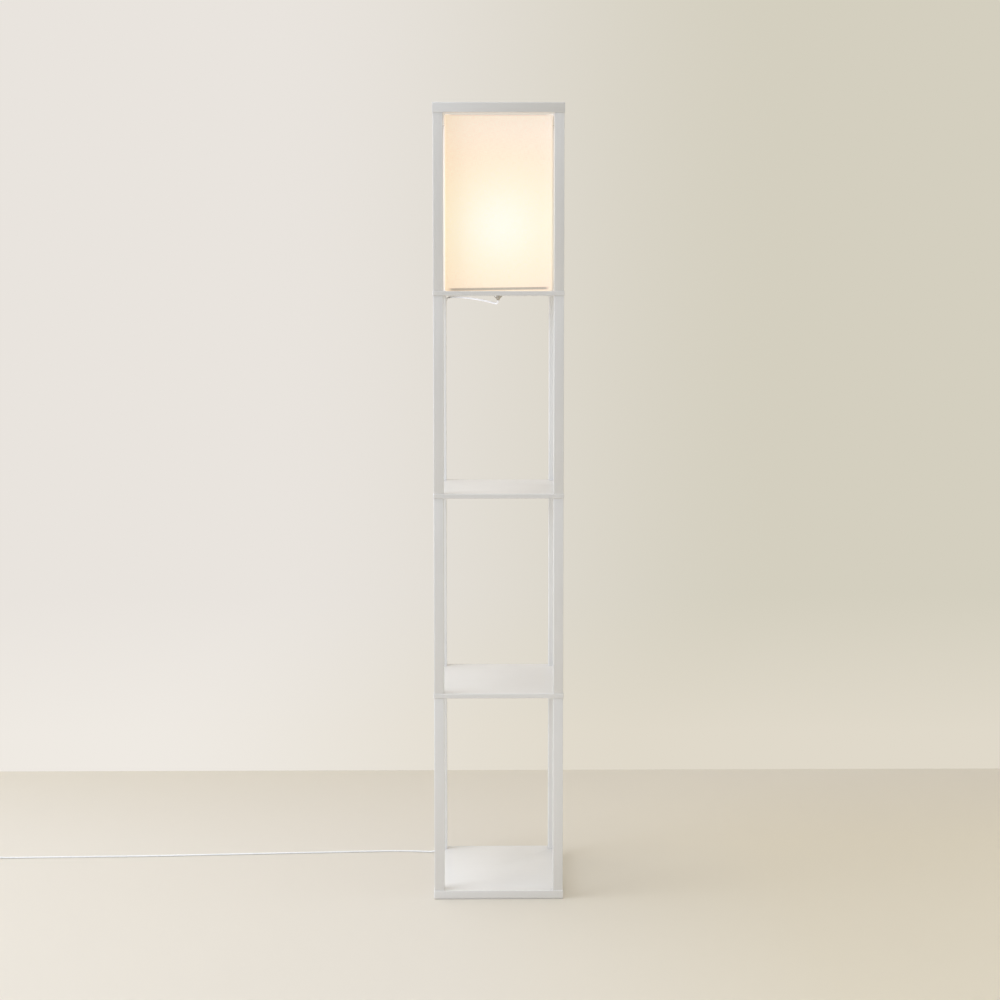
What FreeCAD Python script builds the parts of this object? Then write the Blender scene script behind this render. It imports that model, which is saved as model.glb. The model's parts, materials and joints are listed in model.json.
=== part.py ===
"""Shelf floor lamp: a square tower of three shelves with a lit fabric shade in its top bay.

Millimetres, +Z up, front towards -Y. The origin is on the floor, under the middle of the base.
"""

import FreeCAD
import Part
import Sketcher

import math
import os

from FreeCAD import Rotation, Vector

# The driving dimensions, in millimetres, degrees or counts.
DIMENSIONS = {
    # tower
    "overall_width": 260.0,
    "base_thickness": 15.0,
    "shelf_thickness": 9.0,
    "plate_corner_round": 2.0,
    "plate_edge_round": 1.0,
    "post_width": 20.0,
    "post_edge_round": 1.2,
    "plate_overhang": 1.0,
    "post_length": 392.5,
    "lamp_post_length": 348.1,
    "rail_width": 20.0,
    "rail_height": 20.0,
    "rail_edge_round": 1.5,
    # glides
    "glide_radius": 8.0,
    "glide_height": 2.4,
    "glide_offset": 24.0,
    # fixings of the tower
    "insert_radius": 4.3,
    "insert_length": 10.0,
    "insert_clearance": 0.05,
    "stud_radius": 3.0,
    "stud_clearance": 0.05,
    "stud_hole_clearance": 0.3,
    "stud_end_gap": 1.0,
    "bolt_head_radius": 6.4,
    "bolt_head_height": 4.0,
    "bolt_head_clearance": 0.6,
    "bolt_socket_radius": 2.0,
    "bolt_socket_depth": 2.5,
    "counterbore_depth": 6.0,
    "dowel_radius": 2.5,
    "dowel_depth": 12.0,
    "dowel_end_gap": 0.5,
    "dowel_clearance": 0.05,
    "dowel_lift": 14.5,
    # shade
    "shade_post_gap": 2.5,
    "shade_wall": 0.8,
    "shade_corner_round": 4.0,
    "shade_floor_gap": 3.0,
    "shade_top_gap": 1.0,
    "ring_wire_radius": 1.5,
    "ring_corner_radius": 14.0,
    "ring_inset": 2.0,
    "ring_clearance": 0.1,
    "spoke_radius": 1.25,
    "fitter_radius": 14.0,
    "fitter_thickness": 1.6,
    "fitter_clearance": 0.4,
    # lampholder
    "nipple_radius": 4.9,
    "nipple_bore_radius": 2.6,
    "nipple_clearance": 0.2,
    "nipple_in_nut": 4.0,
    "nipple_in_cap": 6.0,
    "washer_radius": 15.0,
    "washer_thickness": 1.2,
    "lock_nut_radius": 9.0,
    "lock_nut_thickness": 3.0,
    "riser_radius": 8.0,
    "riser_length": 34.0,
    "holder_radius": 19.0,
    "holder_foot_radius": 12.0,
    "holder_wall": 1.8,
    "holder_floor": 2.0,
    "holder_shoulder": 9.0,
    "cap_height": 14.0,
    "shell_height": 30.0,
    "shell_floor": 3.0,
    "shell_lip": 1.5,
    "socket_bore_radius": 14.5,
    "screw_shell_radius": 14.4,
    "screw_shell_wall": 0.5,
    "screw_shell_lift": 3.0,
    "screw_shell_length": 21.0,
    "contact_radius": 4.0,
    "contact_height": 1.6,
    # cone nut
    "cone_nut_radius": 8.5,
    "cone_nut_rim": 1.6,
    "cone_nut_height": 9.0,
    "cone_nut_tip_radius": 2.7,
    "cone_nut_thread_depth": 4.5,
    # bulb
    "bulb_gap": 0.3,
    "bulb_cap_radius": 13.1,
    "bulb_cap_height": 26.0,
    "bulb_cap_chamfer": 2.0,
    "bulb_tip_radius": 4.5,
    "bulb_tip_height": 1.6,
    "bulb_cone_height": 4.5,
    "bulb_neck_radius": 14.5,
    "bulb_neck_height": 4.0,
    "bulb_body_height": 40.0,
    "bulb_rim_radius": 27.9,
    "bulb_wall": 1.5,
    "globe_radius": 30.0,
    "board_recess": 3.4,
    "board_thickness": 1.6,
    "board_clearance": 0.4,
    # lead
    "lead_radius": 1.8,
    "lead_clearance": 0.2,
    "clip_width": 10.0,
    "clip_height": 7.0,
    "clip_wall": 1.4,
    "clip_standoff": 3.9,
    # in-line switch
    "switch_length": 64.0,
    "switch_width": 26.0,
    "switch_base_height": 8.0,
    "switch_cover_height": 8.5,
    "switch_corner_round": 6.0,
    "switch_edge_round": 2.0,
    "switch_wall": 2.0,
    "switch_seam": 0.2,
    "window_length": 22.8,
    "window_width": 12.8,
    "rocker_clearance": 0.4,
    "rocker_height": 3.0,
    "rocker_wing": 1.1,
    "rocker_depth": 3.0,
    "rocker_drop": 3.2,
    "rocker_tilt": 8.0,
    "axle_radius": 1.5,
    "axle_clearance": 0.06,
    "axle_length": 1.5,
    "well_depth": 5.6,
    "relief_length": 22.0,
    "relief_thin_radius": 2.3,
    "relief_thick_radius": 3.8,
    "relief_axis_height": 4.4,
    "screw_offset": 24.0,
    "screw_radius": 1.2,
    "screw_head_radius": 2.4,
    "screw_head_height": 1.6,
    "screw_length": 11.0,
    "screw_clearance": 0.1,
    "boss_radius": 3.2,
    # coil
    "coil_radius": 25.0,
    "coil_pitch": 4.1,
    "coil_half_turns": 5,
    "coil_layer_rise": 4.2,
    # plug
    "plug_width": 24.0,
    "plug_height": 16.0,
    "plug_length": 28.0,
    "plug_round": 3.0,
    "plug_relief_length": 20.0,
    "plug_relief_thin_radius": 2.6,
    "plug_relief_thick_radius": 5.5,
    "blade_spacing": 12.7,
    "blade_thickness": 1.5,
    "blade_width": 6.3,
    "blade_length": 17.0,
    "blade_root": 8.0,
}

doc = FreeCAD.newDocument("shelf_floor_lamp")
sheet = doc.addObject("Spreadsheet::Sheet", "Sizes")
for row, (alias, value) in enumerate(DIMENSIONS.items(), start=1):
    sheet.set(f"A{row}", alias)
    sheet.set(f"B{row}", str(value))
    sheet.setAlias(f"B{row}", alias)
doc.recompute()


class Size:
    """A length that keeps both its number and the sheet expression that it is worked out by."""

    def __init__(self, number, text):
        self.number = float(number)
        self.text = text

    @staticmethod
    def of(value):
        return value if isinstance(value, Size) else Size(value, f"({float(value)!r})")

    def joined(self, sign, other, number):
        return Size(number, f"({self.text} {sign} {other.text})")

    def __add__(self, other):
        other = Size.of(other)
        return self.joined("+", other, self.number + other.number)

    def __radd__(self, other):
        return Size.of(other) + self

    def __sub__(self, other):
        other = Size.of(other)
        return self.joined("-", other, self.number - other.number)

    def __rsub__(self, other):
        return Size.of(other) - self

    def __mul__(self, other):
        other = Size.of(other)
        return self.joined("*", other, self.number * other.number)

    def __rmul__(self, other):
        return Size.of(other) * self

    def __truediv__(self, other):
        other = Size.of(other)
        return self.joined("/", other, self.number / other.number)

    def __neg__(self):
        return Size.of(0) - self


class Sheet:
    """The sheet's cells, each as a Size under its alias."""

    def __init__(self):
        for alias in DIMENSIONS:
            setattr(self, alias, Size(sheet.get(alias), f"Sizes.{alias}"))


s = Sheet()
SIGNS = (-1, 1)
parts = []

# Places that several pieces share.
post_axis = s.overall_width / 2 - s.plate_overhang - s.post_width / 2
rail_axis = s.overall_width / 2 - s.rail_width / 2
base_top = s.glide_height + s.base_thickness
lower_shelf_bottom = base_top + s.post_length
middle_shelf_bottom = lower_shelf_bottom + s.shelf_thickness + s.post_length
lamp_shelf_bottom = middle_shelf_bottom + s.shelf_thickness + s.post_length
lamp_shelf_top = lamp_shelf_bottom + s.shelf_thickness
top_frame_bottom = lamp_shelf_top + s.lamp_post_length
insert_hole_radius = s.insert_radius + s.insert_clearance
stud_hole_radius = s.stud_radius + s.stud_hole_clearance


def bind(obj, name, size):
    """Binds one property of an object to the sheet."""
    obj.setExpression(name, Size.of(size).text)


def place(obj, x=0, y=0, z=0):
    """Puts an object at a place worked out from the sheet."""
    for letter, size in (("x", x), ("y", y), ("z", z)):
        bind(obj, f"Placement.Base.{letter}", size)
    return obj


def keep(obj, label):
    """Makes an object a sub-part: its Label is its node's name."""
    obj.Label = label
    parts.append(obj)
    return obj


# --- PartDesign helpers -------------------------------------------------------------------


def new_body(label, x=0, y=0, z=0):
    body = doc.addObject("PartDesign::Body", label)
    place(body, x, y, z)
    return keep(body, label)


def new_sketch(body, name, lift=0, plane="XY_Plane"):
    """A sketch on one of the body's origin planes, lifted along that plane's normal."""
    sketch = body.newObject("Sketcher::SketchObject", f"{body.Label}_{name}")
    origin = [f for f in body.Origin.OriginFeatures if f.Role == plane][0]
    sketch.AttachmentSupport = [(origin, "")]
    sketch.MapMode = "FlatFace"
    bind(sketch, "AttachmentOffset.Base.z", lift)
    return sketch


def constrain(sketch, name, size, *where):
    """One named length of a sketch, bound to the sheet."""
    size = Size.of(size)
    index = sketch.addConstraint(Sketcher.Constraint(*where, size.number))
    sketch.renameConstraint(index, name)
    bind(sketch, f"Constraints.{name}", size)


def fix_point(sketch, name, geometry, point, x, y):
    """Holds a point at x, y from the sketch's origin."""
    for axis, size in (("X", Size.of(x)), ("Y", Size.of(y))):
        kind = f"Distance{axis}"
        if size.number >= 0:
            constrain(sketch, f"{name}{axis}", size, kind, -1, 1, geometry, point)
        else:
            constrain(sketch, f"{name}{axis}", -size, kind, geometry, point, -1, 1)


def rectangle(body, name, width, depth, lift=0, plane="XY_Plane"):
    """A rectangle about the sketch's origin."""
    width, depth = Size.of(width), Size.of(depth)
    sketch = new_sketch(body, name, lift, plane)
    a, b = width.number / 2, depth.number / 2
    corners = [Vector(-a, -b), Vector(a, -b), Vector(a, b), Vector(-a, b)]
    for i in range(4):
        sketch.addGeometry(Part.LineSegment(corners[i], corners[(i + 1) % 4]))
    for i in range(4):
        sketch.addConstraint(Sketcher.Constraint("Coincident", i, 2, (i + 1) % 4, 1))
        sketch.addConstraint(Sketcher.Constraint(("Horizontal", "Vertical")[i % 2], i))
    sketch.addConstraint(Sketcher.Constraint("Symmetric", 0, 1, 1, 2, -1, 1))
    constrain(sketch, "width", width, "DistanceX", 0, 1, 0, 2)
    constrain(sketch, "depth", depth, "DistanceY", 1, 1, 1, 2)
    return sketch


def circles(body, name, radius, centres, lift=0, plane="XY_Plane"):
    """Equal circles at the given places."""
    radius = Size.of(radius)
    sketch = new_sketch(body, name, lift, plane)
    for i, (x, y) in enumerate(centres):
        middle = Vector(Size.of(x).number, Size.of(y).number)
        sketch.addGeometry(Part.Circle(middle, Vector(0, 0, 1), radius.number))
        constrain(sketch, f"radius{i}", radius, "Radius", i)
        fix_point(sketch, f"centre{i}", i, 3, x, y)
    return sketch


def outline(body, name, points, lift=0, plane="XZ_Plane"):
    """A closed outline of straight edges through the given points."""
    sketch = new_sketch(body, name, lift, plane)
    corners = [Vector(Size.of(x).number, Size.of(y).number) for x, y in points]
    count = len(corners)
    for i in range(count):
        sketch.addGeometry(Part.LineSegment(corners[i], corners[(i + 1) % count]))
    for i in range(count):
        sketch.addConstraint(Sketcher.Constraint("Coincident", i, 2, (i + 1) % count, 1))
    for i, (x, y) in enumerate(points):
        fix_point(sketch, f"point{i}", i, 1, x, y)
    return sketch


def pad(body, sketch, length, midplane=False):
    feature = body.newObject("PartDesign::Pad", f"{sketch.Name}_pad")
    feature.Profile = sketch
    feature.Midplane = midplane
    bind(feature, "Length", length)
    doc.recompute()
    return feature


def pocket(body, sketch, depth, along_normal=False):
    """A cut against the sketch's normal, or along it. It has to take material away."""
    before = body.Tip.Shape.Volume
    feature = body.newObject("PartDesign::Pocket", f"{sketch.Name}_pocket")
    feature.Profile = sketch
    feature.Reversed = along_normal
    bind(feature, "Length", depth)
    doc.recompute()
    if not feature.Shape.Volume < before - 1e-3:
        raise RuntimeError(f"{feature.Name} cuts nothing")
    return feature


def revolve(body, sketch):
    feature = body.newObject("PartDesign::Revolution", f"{sketch.Name}_turned")
    feature.Profile = sketch
    feature.ReferenceAxis = (sketch, ["V_Axis"])
    feature.Angle = 360.0
    doc.recompute()
    return feature


def round_edges(body, name, radius, chosen):
    """A fillet on the edges of the body's tip that the test picks."""
    tip = body.Tip
    names = [f"Edge{i}" for i, edge in enumerate(tip.Shape.Edges, start=1) if chosen(edge)]
    if not names:
        raise RuntimeError(f"{body.Label} {name} finds no edge to round")
    feature = body.newObject("PartDesign::Fillet", f"{body.Label}_{name}")
    feature.Base = (tip, names)
    bind(feature, "Radius", radius)
    doc.recompute()
    return feature


def is_along(letter):
    """A test for straight edges that run along one axis."""
    def chosen(edge):
        if edge.Curve.TypeId != "Part::GeomLine":
            return False
        tangent = edge.tangentAt(edge.FirstParameter)
        return abs(abs(getattr(tangent, letter)) - 1) < 1e-6

    return chosen


def is_upright_at(half_width):
    """A test for upright edges at the corners of a square of that half width."""
    half_width = half_width.number

    def chosen(edge):
        middle = edge.CenterOfMass
        at_corner = all(abs(abs(side) - half_width) < 1e-3 for side in (middle.x, middle.y))
        return is_along("z")(edge) and at_corner

    return chosen


def is_at_height(*heights):
    """A test for edges that lie flat at one of the heights of the body's own frame."""
    def chosen(edge):
        box = edge.BoundBox
        flat = box.ZLength < 1e-6
        return flat and any(abs(box.ZMin - Size.of(h).number) < 1e-4 for h in heights)

    return chosen


def turned(label, points, x=0, y=0, z=0):
    """A round piece turned about Z from its (radius, height) outline."""
    body = new_body(label, x, y, z)
    revolve(body, outline(body, "profile", points))
    return body


# --- Part helpers --------------------------------------------------------------------------


def cylinder(name, radius, height, x=0, y=0, z=0):
    obj = doc.addObject("Part::Cylinder", name)
    bind(obj, "Radius", radius)
    bind(obj, "Height", height)
    return place(obj, x, y, z)


def lying_cylinder(name, radius, length, axis, x=0, y=0, z=0):
    """A cylinder that starts at a place and runs along +X or +Y."""
    obj = cylinder(name, radius, length, x, y, z)
    about, angle = {"x": (Vector(0, 1, 0), 90), "y": (Vector(1, 0, 0), -90)}[axis]
    obj.Placement = FreeCAD.Placement(obj.Placement.Base, Rotation(about, angle))
    return obj


def block(name, length, width, height, x=0, y=0, z=0):
    """A box centred on x and y, standing on z."""
    length, width = Size.of(length), Size.of(width)
    obj = doc.addObject("Part::Box", name)
    bind(obj, "Length", length)
    bind(obj, "Width", width)
    bind(obj, "Height", height)
    return place(obj, x - length / 2, y - width / 2, z)


def cut(name, base, tool):
    obj = doc.addObject("Part::Cut", name)
    obj.Base = base
    obj.Tool = tool
    return obj


def fused(name, pieces):
    obj = doc.addObject("Part::MultiFuse", name)
    obj.Shapes = pieces
    return obj


def group(label, pieces):
    """Identical pieces kept apart in one node."""
    obj = doc.addObject("Part::Compound", label)
    obj.Links = pieces
    return keep(obj, label)


def tube(name, outer, inner, height, x=0, y=0, z=0):
    """A straight tube, its two cylinders at the place itself."""
    rod = cylinder(f"{name}_outer", outer, height, x, y, z)
    bore = cylinder(f"{name}_bore", inner, height, x, y, z)
    return cut(name, rod, bore)


# --- Tower ---------------------------------------------------------------------------------


def corner_places(axis):
    """The four corners as (name, x, y)."""
    return [
        (f"{depth}_{side}", sign_x * axis, sign_y * axis)
        for sign_y, depth in ((-1, "front"), (1, "rear"))
        for sign_x, side in ((-1, "left"), (1, "right"))
    ]


def plate(label, thickness, z):
    """A square board with softened corners and edges, and a stud hole at each corner."""
    body = new_body(label, 0, 0, z)
    pad(body, rectangle(body, "outline", s.overall_width, s.overall_width), thickness)
    round_edges(body, "corners", s.plate_corner_round, is_along("z"))
    round_edges(body, "edges", s.plate_edge_round, is_at_height(0, thickness))
    centres = [(x, y) for _, x, y in corner_places(post_axis)]
    pocket(body, circles(body, "stud_holes", stud_hole_radius, centres, thickness), thickness)
    return body, centres


def make_base():
    body, centres = plate("base_board", s.base_thickness, s.glide_height)
    head_hole = s.bolt_head_radius + s.bolt_head_clearance
    pocket(body, circles(body, "counterbores", head_hole, centres), s.counterbore_depth, True)

    glides = []
    for name, x, y in corner_places(post_axis):
        inward = s.glide_offset if y.number < 0 else -s.glide_offset
        glides.append(cylinder(f"glide_{name}", s.glide_radius, s.glide_height, x, y + inward, 0))
    group("floor_glides", glides)

    bolts = []
    ceiling = s.glide_height + s.counterbore_depth
    into_post = s.insert_length - s.stud_end_gap
    for name, x, y in corner_places(post_axis):
        head_z = ceiling - s.bolt_head_height
        head = cylinder(f"bolt_head_{name}", s.bolt_head_radius, s.bolt_head_height, x, y, head_z)
        shank_length = s.base_thickness - s.counterbore_depth + into_post
        shank = cylinder(f"bolt_shank_{name}", s.stud_radius, shank_length, x, y, ceiling)
        socket = cylinder(
            f"bolt_socket_{name}", s.bolt_socket_radius, s.bolt_socket_depth, x, y, head_z
        )
        bolts.append(cut(f"bolt_{name}", fused(f"bolt_blank_{name}", [head, shank]), socket))
    group("base_bolts", bolts)


def post(label, length, x, y, z):
    """A square post with an insert's hole in each end."""
    body = new_body(label, x, y, z)
    pad(body, rectangle(body, "section", s.post_width, s.post_width), length)
    round_edges(body, "edges", s.post_edge_round, is_along("z"))
    centre = [(0, 0)]
    lower = circles(body, "lower_hole", insert_hole_radius, centre)
    pocket(body, lower, s.insert_length, True)
    upper = circles(body, "upper_hole", insert_hole_radius, centre, length)
    pocket(body, upper, s.insert_length)


def make_posts():
    tiers = (
        (1, base_top, s.post_length),
        (2, lower_shelf_bottom + s.shelf_thickness, s.post_length),
        (3, middle_shelf_bottom + s.shelf_thickness, s.post_length),
        (4, lamp_shelf_top, s.lamp_post_length),
    )
    for number, bottom, length in tiers:
        for name, x, y in corner_places(post_axis):
            post(f"post_tier_{number}_{name}", length, x, y, bottom)
    return tiers


def make_shelves():
    plate("shelf_lower", s.shelf_thickness, lower_shelf_bottom)
    plate("shelf_middle", s.shelf_thickness, middle_shelf_bottom)
    body, _ = plate("shelf_lamp", s.shelf_thickness, lamp_shelf_bottom)
    nipple_hole = s.nipple_radius + s.nipple_clearance
    middle = circles(body, "nipple_hole", nipple_hole, [(0, 0)], s.shelf_thickness)
    pocket(body, middle, s.shelf_thickness)


def rail(label, length, depth, x, y, long_axis):
    """A rail of the top frame, its long edges softened."""
    body = new_body(label, x, y, top_frame_bottom)
    pad(body, rectangle(body, "section", length, depth), s.rail_height)
    round_edges(body, "edges", s.rail_edge_round, is_along(long_axis))
    return body


def make_top_frame():
    """Front and rear rails over the full width, side rails dowelled between them."""
    half_width = s.rail_width / 2
    side_length = s.overall_width - 2 * s.rail_width
    dowel_hole = s.dowel_radius + s.dowel_clearance
    posts_from_rail = rail_axis - post_axis
    for name, sign in (("front", -1), ("rear", 1)):
        body = rail(f"top_rail_{name}", s.overall_width, s.rail_width, 0, sign * rail_axis, "x")
        centres = [(side * post_axis, -sign * posts_from_rail) for side in SIGNS]
        inserts = circles(body, "insert_holes", insert_hole_radius, centres)
        pocket(body, inserts, s.insert_length, True)
        dowels = [(side * rail_axis, s.dowel_lift) for side in SIGNS]
        holes = circles(body, "dowel_holes", dowel_hole, dowels, sign * half_width, "XZ_Plane")
        pocket(body, holes, s.dowel_depth, sign < 0)
    for name, sign in (("left", -1), ("right", 1)):
        body = rail(f"top_rail_{name}", s.rail_width, side_length, sign * rail_axis, 0, "y")
        for end, end_sign in (("front", 1), ("rear", -1)):
            lift = end_sign * side_length / 2
            holes = circles(
                body, f"{end}_dowel_hole", dowel_hole, [(0, s.dowel_lift)], lift, "XZ_Plane"
            )
            pocket(body, holes, s.dowel_depth, end_sign < 0)

    dowel_reach = s.dowel_depth - s.dowel_end_gap
    joint_y = s.overall_width / 2 - s.rail_width
    dowels = []
    for name, x, y in corner_places(rail_axis):
        start = (joint_y if y.number > 0 else -joint_y) - dowel_reach
        dowels.append(
            lying_cylinder(
                f"dowel_{name}",
                s.dowel_radius,
                2 * dowel_reach,
                "y",
                x,
                start,
                top_frame_bottom + s.dowel_lift,
            )
        )
    group("rail_dowels", dowels)


def make_fixings(tiers):
    """Threaded inserts in every post end and in the top frame, and the studs that join them."""
    bore = s.stud_radius + s.stud_clearance
    inserts = []
    for name, x, y in corner_places(post_axis):
        levels = [z for _, bottom, length in tiers for z in (bottom, bottom + length - s.insert_length)]
        levels.append(top_frame_bottom)
        for number, z in enumerate(levels, start=1):
            inserts.append(
                tube(f"insert_{name}_{number}", s.insert_radius, bore, s.insert_length, x, y, z)
            )
    group("threaded_inserts", inserts)

    reach = s.insert_length - s.stud_end_gap
    studs = []
    for number, bottom in enumerate(
        (lower_shelf_bottom, middle_shelf_bottom, lamp_shelf_bottom), start=1
    ):
        for name, x, y in corner_places(post_axis):
            studs.append(
                cylinder(
                    f"stud_{number}_{name}",
                    s.stud_radius,
                    s.shelf_thickness + 2 * reach,
                    x,
                    y,
                    bottom - reach,
                )
            )
    group("joint_studs", studs)
    group(
        "top_studs",
        [
            cylinder(f"top_stud_{name}", s.stud_radius, 2 * reach, x, y, top_frame_bottom - reach)
            for name, x, y in corner_places(post_axis)
        ],
    )


# --- Shade ---------------------------------------------------------------------------------

shade_bottom = lamp_shelf_top + s.shade_floor_gap
shade_height = s.lamp_post_length - s.shade_floor_gap - s.shade_top_gap
shade_width = 2 * post_axis - s.post_width - 2 * s.shade_post_gap
ring_half = shade_width / 2 - s.shade_wall - s.ring_clearance - s.ring_wire_radius
fitter_bottom = lamp_shelf_top + s.washer_thickness + s.lock_nut_thickness


def square_ring(name, z):
    """The pieces of a square wire ring with round corners."""
    straight = ring_half - s.ring_corner_radius
    pieces = []
    for sign in SIGNS:
        for axis, x, y in (("x", -straight, sign * ring_half), ("y", sign * ring_half, -straight)):
            side = f"{name}_side_{axis}{'_far' if sign > 0 else '_near'}"
            pieces.append(
                lying_cylinder(side, s.ring_wire_radius, 2 * straight, axis, x, y, z)
            )
    for number, (sign_x, sign_y) in enumerate(((1, 1), (-1, 1), (-1, -1), (1, -1))):
        bend = doc.addObject("Part::Torus", f"{name}_bend_{number}")
        bind(bend, "Radius1", s.ring_corner_radius)
        bind(bend, "Radius2", s.ring_wire_radius)
        bend.Angle3 = 90
        place(bend, sign_x * straight, sign_y * straight, z)
        turn = Rotation(Vector(0, 0, 1), 90 * number)
        bend.Placement = FreeCAD.Placement(bend.Placement.Base, turn)
        pieces.append(bend)
    return pieces


def make_shade():
    body = new_body("shade_fabric", 0, 0, shade_bottom)
    pad(body, rectangle(body, "outline", shade_width, shade_width), shade_height)
    inner = shade_width - 2 * s.shade_wall
    pocket(body, rectangle(body, "inside", inner, inner, shade_height), shade_height)
    inner_round = s.shade_corner_round - s.shade_wall
    round_edges(body, "inner_corners", inner_round, is_upright_at(inner / 2))
    round_edges(body, "corners", s.shade_corner_round, is_upright_at(shade_width / 2))

    top_z = shade_bottom + shade_height - s.ring_inset
    keep(fused("shade_top_ring", square_ring("top_ring", top_z)), "shade_top_ring")

    spoke_z = fitter_bottom + s.fitter_thickness / 2
    pieces = square_ring("bottom_ring", spoke_z)
    for axis in ("x", "y"):
        start = [-ring_half, 0] if axis == "x" else [0, -ring_half]
        rod = lying_cylinder(
            f"spoke_{axis}", s.spoke_radius, 2 * ring_half, axis, *start, spoke_z
        )
        pieces.append(rod)
    disc = cylinder("fitter_disc", s.fitter_radius, s.fitter_thickness, 0, 0, fitter_bottom)
    pieces.append(disc)
    hole = s.nipple_radius + s.nipple_clearance
    carrier = fused("shade_carrier_blank", pieces)
    seat_radius = s.lock_nut_radius + s.fitter_clearance
    drill_bottom = spoke_z - s.fitter_thickness
    drill = cylinder("fitter_drill", seat_radius, s.fitter_thickness * 2, 0, 0, drill_bottom)
    holed = cut("shade_carrier_holed", carrier, drill)
    seat = tube("fitter_seat", seat_radius, hole, s.fitter_thickness, 0, 0, fitter_bottom)
    keep(fused("shade_bottom_ring", [holed, seat]), "shade_bottom_ring")


# --- Lampholder ----------------------------------------------------------------------------

riser_bottom = fitter_bottom + s.fitter_thickness
holder_bottom = riser_bottom + s.riser_length
shell_bottom = holder_bottom + s.cap_height
nut_tip = lamp_shelf_bottom - s.cone_nut_height
lead_hole = s.lead_radius + s.lead_clearance


def make_lampholder():
    hole = s.nipple_radius + s.nipple_clearance
    washer = tube("washer", s.washer_radius, hole, s.washer_thickness, 0, 0, lamp_shelf_top)
    keep(washer, "holder_washer")

    nut_blank = doc.addObject("Part::Prism", "lock_nut_blank")
    nut_blank.Polygon = 6
    bind(nut_blank, "Circumradius", s.lock_nut_radius)
    bind(nut_blank, "Height", s.lock_nut_thickness)
    nut_z = lamp_shelf_top + s.washer_thickness
    place(nut_blank, 0, 0, nut_z)
    nut_bore = cylinder("lock_nut_bore", hole, s.lock_nut_thickness, 0, 0, nut_z)
    keep(cut("lock_nut", nut_blank, nut_bore), "holder_lock_nut")

    keep(tube("riser", s.riser_radius, hole, s.riser_length, 0, 0, riser_bottom), "riser_tube")

    nipple_z = lamp_shelf_bottom - s.nipple_in_nut
    nipple_length = holder_bottom + s.nipple_in_cap - nipple_z
    nipple = tube("nipple", s.nipple_radius, s.nipple_bore_radius, nipple_length, 0, 0, nipple_z)
    keep(nipple, "threaded_nipple")

    slope = (s.holder_radius - s.holder_foot_radius) / s.holder_shoulder
    inner_foot = s.holder_foot_radius - s.holder_wall + slope * s.holder_floor
    turned(
        "lampholder_cap",
        [
            (hole, 0),
            (s.holder_foot_radius, 0),
            (s.holder_radius, s.holder_shoulder),
            (s.holder_radius, s.cap_height),
            (s.holder_radius - s.holder_wall, s.cap_height),
            (s.holder_radius - s.holder_wall, s.holder_shoulder),
            (inner_foot, s.holder_floor),
            (hole, s.holder_floor),
        ],
        z=holder_bottom,
    )
    turned(
        "lampholder_shell",
        [
            (0, 0),
            (s.holder_radius, 0),
            (s.holder_radius, s.shell_height - s.shell_lip),
            (s.holder_radius - s.shell_lip, s.shell_height),
            (s.socket_bore_radius, s.shell_height),
            (s.socket_bore_radius, s.shell_floor),
            (0, s.shell_floor),
        ],
        z=shell_bottom,
    )
    screw_z = shell_bottom + s.shell_floor + s.screw_shell_lift
    screw_bore = s.screw_shell_radius - s.screw_shell_wall
    screw_shell = tube(
        "screw_shell", s.screw_shell_radius, screw_bore, s.screw_shell_length, 0, 0, screw_z
    )
    keep(screw_shell, "holder_screw_shell")
    contact_z = shell_bottom + s.shell_floor
    contact = cylinder("contact", s.contact_radius, s.contact_height, 0, 0, contact_z)
    keep(contact, "holder_contact")

    turned(
        "cone_nut",
        [
            (lead_hole, 0),
            (s.cone_nut_tip_radius, 0),
            (s.cone_nut_radius, s.cone_nut_height - s.cone_nut_rim),
            (s.cone_nut_radius, s.cone_nut_height),
            (hole, s.cone_nut_height),
            (hole, s.cone_nut_height - s.cone_nut_thread_depth),
            (lead_hole, s.cone_nut_height - s.cone_nut_thread_depth),
        ],
        z=nut_tip,
    )


# --- Bulb ----------------------------------------------------------------------------------

bulb_bottom = shell_bottom + s.shell_floor + s.contact_height + s.bulb_gap


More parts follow.
